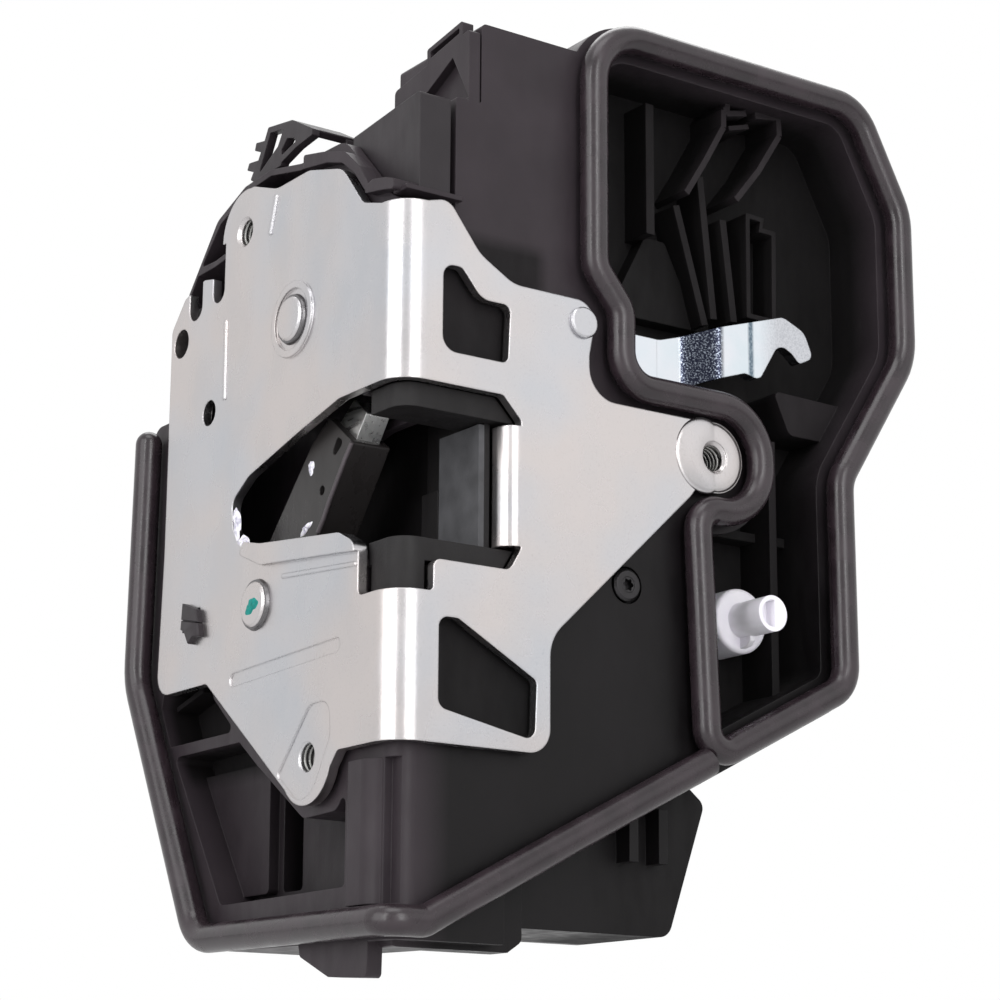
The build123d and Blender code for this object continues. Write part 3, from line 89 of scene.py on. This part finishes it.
class Finish:
    """A node material with shorthand for its nodes and links."""

    def __init__(self, name, colour, roughness, metallic=0.0, specular=0.5):
        self.material = bpy.data.materials.new(name)
        self.material.use_nodes = True
        self.tree = self.material.node_tree
        self.shader = self.tree.nodes["Principled BSDF"]
        self.shader.inputs["Base Color"].default_value = (*colour, 1.0)
        self.shader.inputs["Roughness"].default_value = roughness
        self.shader.inputs["Metallic"].default_value = metallic
        self.shader.inputs["Specular IOR Level"].default_value = specular
        self.place = self.tree.nodes.new("ShaderNodeTexCoord").outputs["Object"]
        self.bump_end = None

    def node(self, kind, **values):
        made = self.tree.nodes.new(kind)
        for name, value in values.items():
            setattr(made, name, value)
        return made

    def link(self, out, into):
        self.tree.links.new(out, into)

    def noise(self, size, detail=4.0, stretch=(1.0, 1.0, 1.0)):
        """Noise whose grains are about size metres across."""
        mapping = self.node("ShaderNodeMapping")
        mapping.inputs["Scale"].default_value = stretch
        self.link(self.place, mapping.inputs["Vector"])
        noise = self.node("ShaderNodeTexNoise")
        noise.inputs["Scale"].default_value = 1.0 / size
        noise.inputs["Detail"].default_value = detail
        self.link(mapping.outputs["Vector"], noise.inputs["Vector"])
        return noise.outputs["Fac"]

    def ramp(self, value, low, high, start=0.3, end=0.7):
        """Colours low and high laid over a value between start and end."""
        ramp = self.node("ShaderNodeValToRGB")
        ramp.color_ramp.elements[0].position = start
        ramp.color_ramp.elements[1].position = end
        ramp.color_ramp.elements[0].color = (*low, 1.0)
        ramp.color_ramp.elements[1].color = (*high, 1.0)
        self.link(value, ramp.inputs["Fac"])
        return ramp.outputs["Color"]

    def spread(self, value, low, high):
        """A number between low and high that follows a value."""
        return self.between(value, 0.3, 0.7, low, high)

    def between(self, value, start, end, low, high):
        """A number that goes from low at start to high at end."""
        scale = self.node("ShaderNodeMapRange")
        scale.inputs["From Min"].default_value = start
        scale.inputs["From Max"].default_value = end
        scale.inputs["To Min"].default_value = low
        scale.inputs["To Max"].default_value = high
        self.link(value, scale.inputs["Value"])
        return scale.outputs["Result"]

    def times(self, first, second):
        product = self.node("ShaderNodeMath", operation="MULTIPLY")
        self.link(first, product.inputs[0])
        self.link(second, product.inputs[1])
        return product.outputs[0]

    def mix(self, amount, first, second):
        mix = self.node("ShaderNodeMix", data_type="RGBA")
        if isinstance(amount, float):
            mix.inputs["Factor"].default_value = amount
        else:
            self.link(amount, mix.inputs["Factor"])
        self.link(first, mix.inputs["A"])
        self.link(second, mix.inputs["B"])
        return mix.outputs["Result"]

    def colour(self, value):
        self.link(value, self.shader.inputs["Base Color"])

    def roughness(self, value):
        self.link(value, self.shader.inputs["Roughness"])

    def bump(self, height, strength, distance):
        bump = self.node("ShaderNodeBump")
        bump.inputs["Strength"].default_value = strength
        bump.inputs["Distance"].default_value = distance
        self.link(height, bump.inputs["Height"])
        if self.bump_end is not None:
            self.link(self.bump_end, bump.inputs["Normal"])
        self.bump_end = bump.outputs["Normal"]
        self.link(self.bump_end, self.shader.inputs["Normal"])

    def soften(self, radius):
        """Round the look of sharp edges by a small radius."""
        bevel = self.node("ShaderNodeBevel", samples=6)
        bevel.inputs["Radius"].default_value = radius
        self.bump_end = bevel.outputs["Normal"]
        self.link(self.bump_end, self.shader.inputs["Normal"])


def zinc_finish(name, tint, roughness):
    """Passivated zinc: satin, with cloudy yellow and blue tints and a fine sandy grain."""
    zinc = Finish(name, tint, roughness, metallic=1.0)
    cloud = zinc.noise(26 * MM, 2.0)
    stain = zinc.noise(11 * MM, 5.0, (1.0, 1.0, 0.7))
    cool = zinc.ramp(cloud, tuple(c * k for c, k in zip(tint, (0.84, 0.97, 1.04))),
                     tuple(c * k for c, k in zip(tint, (1.05, 1.0, 0.92))), 0.36, 0.6)
    shade = zinc.ramp(stain, tuple(c * k for c, k in zip(tint, (0.9, 0.9, 0.95))),
                      tuple(c * k for c, k in zip(tint, (1.08, 1.03, 1.04))), 0.35, 0.62)
    grain = zinc.noise(0.5 * MM, 3.0)
    specks = zinc.ramp(grain, tuple(c * 0.78 for c in tint), tint, 0.3, 0.42)
    zinc.colour(zinc.mix(0.3, zinc.mix(0.45, cool, shade), specks))
    zinc.roughness(zinc.spread(stain, roughness - 0.05, roughness + 0.08))
    zinc.soften(0.4 * MM)
    zinc.bump(grain, 0.3, 0.06 * MM)
    zinc.bump(zinc.noise(6 * MM, 2.0), 0.12, 0.3 * MM)
    return zinc.material


def steel_finish(name, tint, roughness):
    steel = Finish(name, tint, roughness, metallic=1.0)
    streak = steel.noise(0.8 * MM, 3.0, (1.0, 0.12, 1.0))
    steel.colour(steel.ramp(streak, tuple(c * 0.88 for c in tint), tint))
    steel.roughness(steel.spread(streak, roughness - 0.06, roughness + 0.08))
    steel.soften(0.25 * MM)
    steel.bump(streak, 0.1, 0.05 * MM)
    return steel.material


def plastic_finish(name, tint, roughness, grain, strength):
    """Moulded plastic: eroded grain, slow shade changes and faint scuffs on its gloss."""
    plastic = Finish(name, tint, roughness, specular=0.3)
    cloud = plastic.noise(14 * MM, 4.0)
    scuff = plastic.noise(3 * MM, 6.0, (1.0, 1.0, 0.35))
    plastic.colour(plastic.ramp(cloud, tuple(c * 0.85 for c in tint), tuple(c * 1.2 for c in tint)))
    plastic.roughness(plastic.spread(scuff, roughness - 0.07, roughness + 0.1))
    plastic.soften(0.3 * MM)
    plastic.bump(plastic.noise(grain, 3.0), strength, 0.06 * MM)
    return plastic.material


def rubber_finish(name, tint, roughness):
    rubber = Finish(name, tint, roughness)
    skin = rubber.noise(0.5 * MM, 4.0)
    wipe = rubber.noise(5 * MM, 5.0)
    rubber.colour(rubber.ramp(wipe, tuple(c * 0.75 for c in tint), tuple(c * 1.35 for c in tint)))
    rubber.roughness(rubber.spread(wipe, roughness - 0.05, roughness + 0.08))
    rubber.bump(skin, 0.22, 0.08 * MM)
    rubber.bump(rubber.noise(5 * MM, 2.0), 0.12, 0.3 * MM)
    return rubber.material


def white_finish():
    white = Finish("white_acetal", (0.84, 0.82, 0.88), 0.32)
    white.shader.inputs["Subsurface Weight"].default_value = 0.25
    white.shader.inputs["Subsurface Radius"].default_value = (0.9 * MM, 0.8 * MM, 0.9 * MM)
    cloud = white.noise(8 * MM, 2.0)
    white.colour(white.ramp(cloud, (0.80, 0.78, 0.85), (0.87, 0.85, 0.90)))
    white.soften(0.3 * MM)
    white.bump(white.noise(0.6 * MM, 2.0), 0.06, 0.05 * MM)
    return white.material


def housing_finish(name, tint, roughness):
    """The black moulding, with painted shade: darker and duller in the recess, under the plate and low on its
    front.

    These tones are set by place and are painted shade.
    """
    plastic = Finish(name, tint, roughness, specular=0.2)
    parts = plastic.node("ShaderNodeSeparateXYZ")
    plastic.link(plastic.place, parts.inputs["Vector"])
    # Mask of the recess, where shade is painted into the colour.
    inward = plastic.between(parts.outputs["X"], 46 * MM, 56 * MM, 0.0, 1.0)
    deep = plastic.between(parts.outputs["Y"], 3.0 * MM, 11.0 * MM, 0.0, 1.0)
    recess = plastic.times(inward, deep)
    # Mask of the front under the plate, where shade is painted into the colour.
    shade = plastic.between(parts.outputs["X"], 4 * MM, 6 * MM, 0.0, 0.85)
    limits = (("X", 32, 35, 1.0, 0.0), ("Z", -47, -44, 0.0, 1.0), ("Z", 46, 49, 1.0, 0.0))
    for axis, start, end, low, high in limits:
        shade = plastic.times(shade, plastic.between(parts.outputs[axis], start * MM, end * MM, low, high))
    # Both masks together: where the painted shade takes the place of the moulding's colour.
    painted_shade_mask = plastic.node("ShaderNodeMath", operation="MAXIMUM")
    plastic.link(recess, painted_shade_mask.inputs[0])
    plastic.link(shade, painted_shade_mask.inputs[1])
    cloud = plastic.noise(14 * MM, 4.0)
    scuff = plastic.noise(3 * MM, 6.0, (1.0, 1.0, 0.35))
    skin = plastic.ramp(cloud, tuple(c * 0.85 for c in tint), tuple(c * 1.2 for c in tint))
    # Near-black colour of the painted shade in the recess and under the plate.
    dark = plastic.ramp(cloud, (0.002, 0.0016, 0.0018), (0.004, 0.0032, 0.0036))
    # Painted shade low on the front: a colour and mask that darken the moulding towards the bottom.
    low_painted_shade = plastic.ramp(cloud, tuple(c * 0.1 for c in tint), tuple(c * 0.18 for c in tint))
    below = plastic.times(plastic.between(parts.outputs["Z"], -10 * MM, 40 * MM, 1.0, 0.0),
                          plastic.between(parts.outputs["X"], 7 * MM, 14 * MM, 0.0, 1.0))
    plastic.colour(plastic.mix(painted_shade_mask.outputs[0], plastic.mix(below, skin, low_painted_shade), dark))
    gloss = plastic.spread(scuff, roughness - 0.07, roughness + 0.1)
    dull = plastic.node("ShaderNodeMath", operation="MULTIPLY_ADD")
    plastic.link(painted_shade_mask.outputs[0], dull.inputs[0])
    dull.inputs[1].default_value = 0.3
    plastic.link(gloss, dull.inputs[2])
    plastic.roughness(dull.outputs[0])
    plastic.soften(0.3 * MM)
    plastic.bump(plastic.noise(0.45 * MM, 3.0), 0.25, 0.06 * MM)
    return plastic.material


def lever_finish():
    """Bright zinc that turns dark and speckled on the steep crank, with one thin band of painted dark
    reflection past it.
    """
    zinc = Finish("lever_zinc", (0.6, 0.64, 0.68), 0.2, metallic=1.0)
    parts = zinc.node("ShaderNodeSeparateXYZ")
    zinc.link(zinc.place, parts.inputs["Vector"])
    along = parts.outputs["X"]
    start = zinc.between(along, LEVER_CRANK[0] * MM, (LEVER_CRANK[0] + 0.5) * MM, 0.0, 1.0)
    end = zinc.between(along, (LEVER_CRANK[1] - 0.3) * MM, (LEVER_CRANK[1] + 0.6) * MM, 1.0, 0.0)
    crank = zinc.times(start, end)
    # A thin band past the crank where a dark reflection is painted into the colour.
    rise = zinc.between(along, 84.0 * MM, 84.6 * MM, 0.0, 1.0)
    fall = zinc.between(along, 85.2 * MM, 85.8 * MM, 1.0, 0.0)
    line = zinc.times(rise, fall)
    speck = zinc.noise(0.32 * MM, 3.0)
    cloud = zinc.noise(7 * MM, 3.0)
    hook = zinc.ramp(speck, (0.42, 0.43, 0.46), (0.52, 0.53, 0.56), 0.35, 0.6)
    bright = zinc.mix(zinc.between(along, 87 * MM, 92 * MM, 0.0, 1.0),
                      zinc.ramp(cloud, (0.58, 0.64, 0.68), (0.66, 0.68, 0.72)), hook)
    # Dark speckled colour on the crank.
    crank_tone = zinc.ramp(speck, (0.018, 0.02, 0.035), (0.32, 0.36, 0.42), 0.5, 0.72)
    # Colour of the painted dark reflection in that band.
    dark = zinc.ramp(speck, (0.10, 0.14, 0.18), (0.3, 0.36, 0.4), 0.4, 0.7)
    zinc.colour(zinc.mix(line, zinc.mix(crank, bright, crank_tone), dark))
    zinc.roughness(zinc.spread(cloud, 0.17, 0.26))
    zinc.soften(0.3 * MM)
    zinc.bump(zinc.noise(0.4 * MM, 2.0), 0.14, 0.05 * MM)
    return zinc.material


def grease_finish():
    grease = Finish("white_grease", (0.75, 0.74, 0.8), 0.25)
    grease.shader.inputs["Subsurface Weight"].default_value = 0.3
    grease.shader.inputs["Subsurface Radius"].default_value = (0.6 * MM, 0.5 * MM, 0.7 * MM)
    lump = grease.noise(1.1 * MM, 4.0)
    grease.colour(grease.ramp(lump, (0.42, 0.41, 0.5), (0.84, 0.83, 0.88), 0.35, 0.6))
    grease.bump(lump, 0.6, 0.3 * MM)
    return grease.material


def paint_finish():
    paint = Finish("teal_paint", (0.0, 0.2, 0.17), 0.5, specular=0.2)
    paint.colour(paint.ramp(paint.noise(0.8 * MM, 4.0), (0.0, 0.15, 0.13), (0.005, 0.25, 0.22)))
    paint.bump(paint.noise(0.5 * MM, 3.0), 0.4, 0.1 * MM)
    return paint.material


def dress_nodes():
    """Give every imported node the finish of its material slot."""
    finishes = {
        "zinc": zinc_finish("plated_zinc", (0.54, 0.52, 0.525), 0.26),
        "bright_zinc": lever_finish(),
        "steel": steel_finish("ground_steel", (0.66, 0.66, 0.65), 0.3),
        "spring_steel": steel_finish("spring_wire", (0.32, 0.32, 0.33), 0.3),
        "motor_steel": steel_finish("motor_can", (0.6, 0.6, 0.58), 0.3),
        "brass": steel_finish("brass", (0.74, 0.58, 0.3), 0.3),
        "black_plastic": plastic_finish("black_moulding", (0.019, 0.0152, 0.018), 0.42, 0.45 * MM, 0.25),
        "liner": plastic_finish("liner_moulding", (0.007, 0.006, 0.0065), 0.58, 0.5 * MM, 0.6),
        "housing": housing_finish("black_housing", (0.028, 0.0222, 0.0262), 0.42),
        "fork_plastic": plastic_finish("fork_overmould", (0.018, 0.016, 0.016), 0.3, 0.8 * MM, 0.1),
        # Lighter tone for the fork's lip: a painted highlight along the fork's edge.
        "lip": plastic_finish("fork_lip_painted_highlight", (0.07, 0.06, 0.066), 0.3, 0.8 * MM, 0.1),
        "seal_rubber": rubber_finish("seal_skin", (0.02, 0.0135, 0.017), 0.25),
        "grey_rubber": rubber_finish("bumper_rubber", (0.06, 0.06, 0.065), 0.6),
        "white_plastic": white_finish(),
        "natural_plastic": plastic_finish("natural_moulding", (0.72, 0.68, 0.58), 0.45, 0.6 * MM, 0.08),
        "black_steel": steel_finish("black_screw", (0.05, 0.048, 0.05), 0.38),
        "grey_plastic": plastic_finish("switch_moulding", (0.12, 0.12, 0.125), 0.45, 0.5 * MM, 0.1),
    }
    for entry in frame["record"]["subparts"]:
        shown = frame["nodes"][entry["node"]]
        shown.data.materials.clear()
        kind = {"main_housing": "housing", "mouth_liner": "liner"}.get(entry["node"], entry["material_slot"])
        shown.data.materials.append(finishes[kind])
        for face in shown.data.polygons:
            face.use_smooth = True
    return finishes


def add_piece(name, points, faces, finish, body):
    """A piece from points in millimetres and faces, riding on a body."""
    mesh = bpy.data.meshes.new(name)
    mesh.from_pydata([Vector(p) * MM for p in points], [], faces)
    whole = bmesh.new()
    whole.from_mesh(mesh)
    bmesh.ops.recalc_face_normals(whole, faces=whole.faces)
    whole.to_mesh(mesh)
    whole.free()
    for face in mesh.polygons:
        face.use_smooth = True
    mesh.set_sharp_from_angle(angle=math.radians(40))
    mesh.materials.append(finish)
    made = bpy.data.objects.new(name, mesh)
    bpy.context.scene.collection.objects.link(made)
    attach(made, body)
    return made


def skin_faces(layers, count, closed=False):
    """The faces between layers of count points each; closed joins the last layer to the first."""
    faces = []
    for layer in range(layers if closed else layers - 1):
        following = (layer + 1) % layers
        for i in range(count):
            j = (i + 1) % count
            faces.append((layer * count + i, layer * count + j, following * count + j, following * count + i))
    return faces


# Directions across, up and out of the two outer faces of the plate
SHUT = (Vector((0, -1, 0)), Vector((0, 0, 1)), Vector((-1, 0, 0)))
INNER = (Vector((1, 0, 0)), Vector((0, 0, 1)), Vector((0, -1, 0)))


def turned_piece(name, origin, sides, profile, finish, body="frame", count=60):
    """A ring turned about the way out of a face. The profile gives (radius, height, six-lobed wave)."""
    across, up, out = sides
    origin = Vector(origin)
    points = []
    for step in range(count):
        angle = 2 * math.pi * step / count
        arm = across * math.cos(angle) + up * math.sin(angle)
        for radius, height, wave in profile:
            points.append(origin + arm * (radius + wave * math.cos(6 * angle)) + out * height)
    faces = skin_faces(count, len(profile), closed=True)
    return add_piece(name, points, faces, finish, body)


def thread_piece(name, origin, sides, start, length, finish):
    """The helical ridge of a thread inside a bore of core size."""
    across, up, out = sides
    origin = Vector(origin)
    root, crest, pitch, flank, steps = 2.53, 2.28, 1.0, 0.4, 32
    total = int(length / pitch * steps)
    points = []
    for step in range(total + 1):
        angle = 2 * math.pi * step / steps
        arm = across * math.cos(angle) + up * math.sin(angle)
        depth = start + pitch * step / steps
        fade = min(1.0, step / 10, (total - step) / 10)
        top = root - (root - crest) * max(fade, 0.05)
        for radius, shift in ((root, -flank), (top, 0.0), (root, flank)):
            points.append(origin + arm * radius - out * (depth + shift))
    faces = skin_faces(total + 1, 3)
    faces.append((0, 1, 2))
    faces.append((total * 3 + 2, total * 3 + 1, total * 3))
    return add_piece(name, points, faces, finish, "frame")


def smear_piece(name, origin, sides, reach, height, tilt, finish, body):
    """A flat blob with a wavy edge: paint or grease on a face."""
    across, up, out = sides
    origin = Vector(origin)
    rings, count = 6, 36
    points = []
    for ring in range(1, rings + 1):
        part = ring / rings
        for step in range(count):
            angle = 2 * math.pi * step / count
            edge = (1 + 0.2 * math.sin(2 * angle + tilt) + 0.13 * math.sin(3 * angle + 2.0)
                    + 0.06 * math.sin(7 * angle))
            a = reach[0] * part * edge * math.cos(angle)
            b = reach[1] * part * edge * math.sin(angle)
            turned_a = a * math.cos(tilt) - b * math.sin(tilt)
            turned_b = a * math.sin(tilt) + b * math.cos(tilt)
            swell = height * (1 - part ** 3) * (1 + 0.25 * math.sin(5 * angle + 4 * part))
            points.append(origin + across * turned_a + up * turned_b + out * swell)
    faces = skin_faces(rings, count)
    points.append(origin + out * height)
    for step in range(count):
        faces.append((len(points) - 1, step, (step + 1) % count))
    rim = (rings - 1) * count
    faces.append(tuple(rim + step for step in range(count)))
    return add_piece(name, points, faces, finish, body)


def eye_boss(finishes):
    """The plate round the side eye stands a little proud, with a broad sloped step on its left."""
    across, up, out = INNER
    origin = Vector((71.7, 0.0, 13.6))
    bore, shoulder, rim, sunk = 3.12, 3.5, 6.1, -0.02
    count = 72
    points = []
    for step in range(count):
        angle = 2 * math.pi * step / count
        arm = across * math.cos(angle) + up * math.sin(angle)
        left = max(0.0, -math.cos(angle)) ** 0.7
        outer = 6.8 + 2.5 * left
        top = 0.16 + 0.5 * left
        profile = ((bore, sunk), (bore, top * 0.8), (shoulder, top), (rim, top), (outer, 0.0), (outer, sunk))
        for radius, height in profile:
            points.append(origin + arm * radius + out * height)
    faces = skin_faces(count, len(profile), closed=True)
    add_piece("eye_boss", points, faces, finishes["zinc"], "frame")


def plate_clip(finishes):
    """The two-part clip that stands out of the plate, with a groove across and a notch below."""
    back, groove_x, front = 0.2, -1.1, -1.3
    halves = {
        "clip_upper": ((74.4, -11.4), (69.0, -13.4), (68.0, -16.1), (74.7, -14.6)),
        "clip_lower": ((74.7, -14.75), (68.0, -16.25), (67.4, -18.9), (69.7, -18.7),
                       (71.7, -19.8), (73.4, -17.2), (74.9, -16.5)),
    }
    for name, outline in halves.items():
        count = len(outline)
        middle = (sum(p[0] for p in outline) / count, sum(p[1] for p in outline) / count)
        points = []
        for x, inset in ((back, 0.0), (groove_x, 0.0), (front, 0.25)):
            for y, z in outline:
                points.append((x, y + (middle[0] - y) * inset * 0.3, z + (middle[1] - z) * inset * 0.3))
        faces = [tuple(range(count)), tuple(2 * count + i for i in range(count))]
        faces += skin_faces(3, count)
        add_piece(name, points, faces, finishes["black_plastic"], "frame")


def crank_lever(finishes):
    """The release lever with its crank where the photo shows it: a copy of the node, bent afresh."""
    old_start, old_end, step_out = 57.0, 65.5, 5.0
    new_start, new_end = LEVER_CRANK
    node = frame["nodes"]["release_lever"]
    mesh = node.data.copy()
    mesh.name = "cranked_lever"
    work = bmesh.new()
    work.from_mesh(mesh)
    cut_step = 0.4
    cuts = [old_start - 2 + cut_step * i for i in range(int((new_end - old_start + 5) / cut_step))]
    for x in cuts:
        bmesh.ops.bisect_plane(work, geom=work.verts[:] + work.edges[:] + work.faces[:], dist=1e-7,
                               plane_co=(x * MM, 0, 0), plane_no=(1, 0, 0))
    for vert in work.verts:
        x = vert.co.x / MM
        was = min(max((x - old_start) / (old_end - old_start), 0.0), 1.0)
        now = min(max((x - new_start) / (new_end - new_start), 0.0), 1.0)
        now = now * now * (3 - 2 * now) * 0.5 + now * 0.5
        vert.co.y += step_out * MM * (was - now)
    work.to_mesh(mesh)
    work.free()
    for face in mesh.polygons:
        face.use_smooth = True
    mesh.set_sharp_from_angle(angle=math.radians(35))
    made = bpy.data.objects.new("cranked_lever", mesh)
    bpy.context.scene.collection.objects.link(made)
    mesh.materials.clear()
    mesh.materials.append(finishes["bright_zinc"])
    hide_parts("release_lever")
    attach(made, "lever")


def fork_lip_painted_highlight(finishes):
    """A rounded lip along the striker side of the fork's cover, in a lighter tone that is a painted highlight
    along that edge.
    """
    line = ((21.4, 10.3), (23.6, 7.9), (26.5, 4.0), (28.7, 1.2), (30.8, -2.1), (32.7, -4.4))
    front, radius, count = 4.2, 0.42, 8
    points = []
    for index, (y, z) in enumerate(line):
        before, after = line[max(index - 1, 0)], line[min(index + 1, len(line) - 1)]
        run = Vector((0, after[0] - before[0], after[1] - before[1])).normalized()
        side = run.cross(Vector((1, 0, 0)))
        for step in range(count):
            angle = 2 * math.pi * step / count
            points.append(Vector((front, y, z)) + side * (radius * math.cos(angle))
                          + Vector((1, 0, 0)) * (radius * math.sin(angle)))
    faces = skin_faces(len(line), count)
    faces.append(tuple(range(count)))
    faces.append(tuple((len(line) - 1) * count + step for step in range(count)))
    add_piece("fork_lip_painted_highlight", points, faces, finishes["lip"], "fork")


def coupler_rib(finishes):
    """The small stiffening rib under the coupler's stub."""
    outline = ((5.6, -18.4), (8.7, -18.4), (8.7, -20.5), (6.6, -20.2), (5.6, -19.3))
    count = len(outline)
    points = [(x, y, z) for x in (84.8, 86.0) for y, z in outline]
    faces = [tuple(range(count)), tuple(count + i for i in range(count))]
    faces += skin_faces(2, count)
    add_piece("coupler_rib", points, faces, finishes["white_plastic"], "coupler")


def add_details(finishes):
    paint = paint_finish()
    grease = grease_finish()
    # Dark steel for the rings round the rivet heads: painted dark reflection and shadow on their side walls.
    collar = steel_finish("rivet_side_painted_shade", (0.16, 0.155, 0.16), 0.3)
    thread = steel_finish("thread_steel", (0.3, 0.3, 0.29), 0.32)
    eye_boss(finishes)
    plate_clip(finishes)
    crank_lever(finishes)
    # Rings round the two rivet heads, dark with painted reflection and shadow.
    collar_shape = ((4.1, -0.02, 0), (4.1, 0.8, 0), (4.65, 0.7, 0), (4.95, -0.02, 0))
    for name, origin in (("fork_collar", (0, 47.3, -16.0)), ("pawl_collar", (0, 36.6, 37.0))):
        turned_piece(name, origin, SHUT, collar_shape, collar)
    thread_start, thread_length = 1.1, 5.4
    for name, origin, sides in (("upper_thread", (0, 56.1, 60.1), SHUT),
                                ("lower_thread", (0, 28.3, -46.8), SHUT),
                                ("side_thread", (71.7, 0, 13.6), INNER)):
        thread_piece(name, origin, sides, thread_start, thread_length, thread)
    turned_piece("front_screw_socket", (52.9, 2.4, -13.1), INNER,
                 ((1.49, -0.05, 0), (1.05, -0.05, 0.17), (1.0, -1.1, 0.17), (1.49, -1.1, 0)),
                 finishes["black_steel"])
    smear_piece("paint_dot", (-1.19, 47.1, -16.4), SHUT, (2.2, 1.45), 0.16, 0.0,
                paint, "frame")
    fork_lip_painted_highlight(finishes)
    coupler_rib(finishes)
    smears = (
        ("fork_grease", (4.18, 35.6, 8.6), (1.0, 1.4), 0.3, 0.6, "fork"),
        ("fork_foot_grease", (4.18, 37.0, -2.8), (2.0, 0.8), 0.35, 0.3, "fork"),
        ("mouth_grease", (-0.02, 55.6, 1.2), (1.3, 3.4), 0.5, 0.35, "frame"),
        ("corner_grease", (-0.02, 52.6, -3.0), (2.6, 1.1), 0.45, -0.5, "frame"),
    )
    for name, origin, reach, height, tilt, body in smears:
        smear_piece(name, origin, SHUT, reach, height, tilt, grease, body)


def lay_floor():
    low = cad_box[0][2]
    level = low - FLOOR_DROP
    reach = 6.0
    mesh = bpy.data.meshes.new("floor")
    corners = [(-reach, -reach, level), (reach, -reach, level), (reach, reach, level), (-reach, reach, level)]
    mesh.from_pydata(corners, [], [(0, 1, 2, 3)])
    floor = bpy.data.objects.new("floor", mesh)
    bpy.context.scene.collection.objects.link(floor)
    material = bpy.data.materials.new("floor")
    material.use_nodes = True
    tree = material.node_tree
    shader = tree.nodes["Principled BSDF"]
    shader.inputs["Base Color"].default_value = (0.82, 0.82, 0.82, 1.0)
    shader.inputs["Roughness"].default_value = 0.7
    mesh.materials.append(material)


def light_studio():
    """A plain white studio with soft boxes on both sides of the camera."""
    world = bpy.data.worlds.new("studio")
    bpy.context.scene.world = world
    world.use_nodes = True
    tree = world.node_tree
    rays = tree.nodes.new("ShaderNodeLightPath")
    light = tree.nodes["Background"]
    light.inputs["Color"].default_value = (1.0, 1.0, 1.0, 1.0)
    light.inputs["Strength"].default_value = 0.6
    white = tree.nodes.new("ShaderNodeBackground")
    white.inputs["Color"].default_value = (1.0, 1.0, 1.0, 1.0)
    white.inputs["Strength"].default_value = 1.0
    seen = rays.outputs["Is Camera Ray"]
    for kind in ("Is Glossy Ray", "Is Transmission Ray"):
        either = tree.nodes.new("ShaderNodeMath")
        either.operation = "MAXIMUM"
        tree.links.new(seen, either.inputs[0])
        tree.links.new(rays.outputs[kind], either.inputs[1])
        seen = either.outputs[0]
    mix = tree.nodes.new("ShaderNodeMixShader")
    tree.links.new(seen, mix.inputs["Fac"])
    tree.links.new(light.outputs[0], mix.inputs[1])
    tree.links.new(white.outputs[0], mix.inputs[2])
    tree.links.new(mix.outputs[0], tree.nodes["World Output"].inputs["Surface"])
    # Soft boxes: azimuth and elevation in degrees, distance, width and height in metres, brightness
    boxes = (
        ("left_box", 184.0, 14.0, 1.2, 0.85, 1.1, 1.8),
        ("right_box", 262.0, 14.0, 1.2, 0.7, 1.1, 1.5),
        ("left_strip", 205.0, 16.0, 1.15, 0.09, 1.0, 8.5),
        ("right_strip", 257.0, 16.0, 1.15, 0.09, 1.0, 8.5),
        ("side_box", 306.0, 22.0, 1.4, 0.8, 0.7, 0.28),
        ("top_box", 225.0, 68.0, 1.3, 0.8, 0.6, 2.4),
        ("back_box", 55.0, 62.0, 1.3, 1.0, 0.6, 2.6),
    )
    target = Vector((0.04, 0.02, 0.0))
    for name, azimuth, elevation, distance, width, height, brightness in boxes:
        data = bpy.data.lights.new(name, "AREA")
        data.shape = "RECTANGLE"
        data.size = width
        data.size_y = height
        data.energy = brightness * math.pi * width * height
        lamp = bpy.data.objects.new(name, data)
        bpy.context.scene.collection.objects.link(lamp)
        level = math.cos(math.radians(elevation))
        away = Vector((math.cos(math.radians(azimuth)) * level, math.sin(math.radians(azimuth)) * level,
                       math.sin(math.radians(elevation))))
        lamp.location = target + away * distance
        lamp.rotation_euler = (-away).to_track_quat("-Z", "Y").to_euler()
        lamp.visible_camera = False


aim_camera()
finishes = dress_nodes()
add_details(finishes)
lay_floor()
light_studio()
bpy.context.scene.view_settings.view_transform = "Standard"
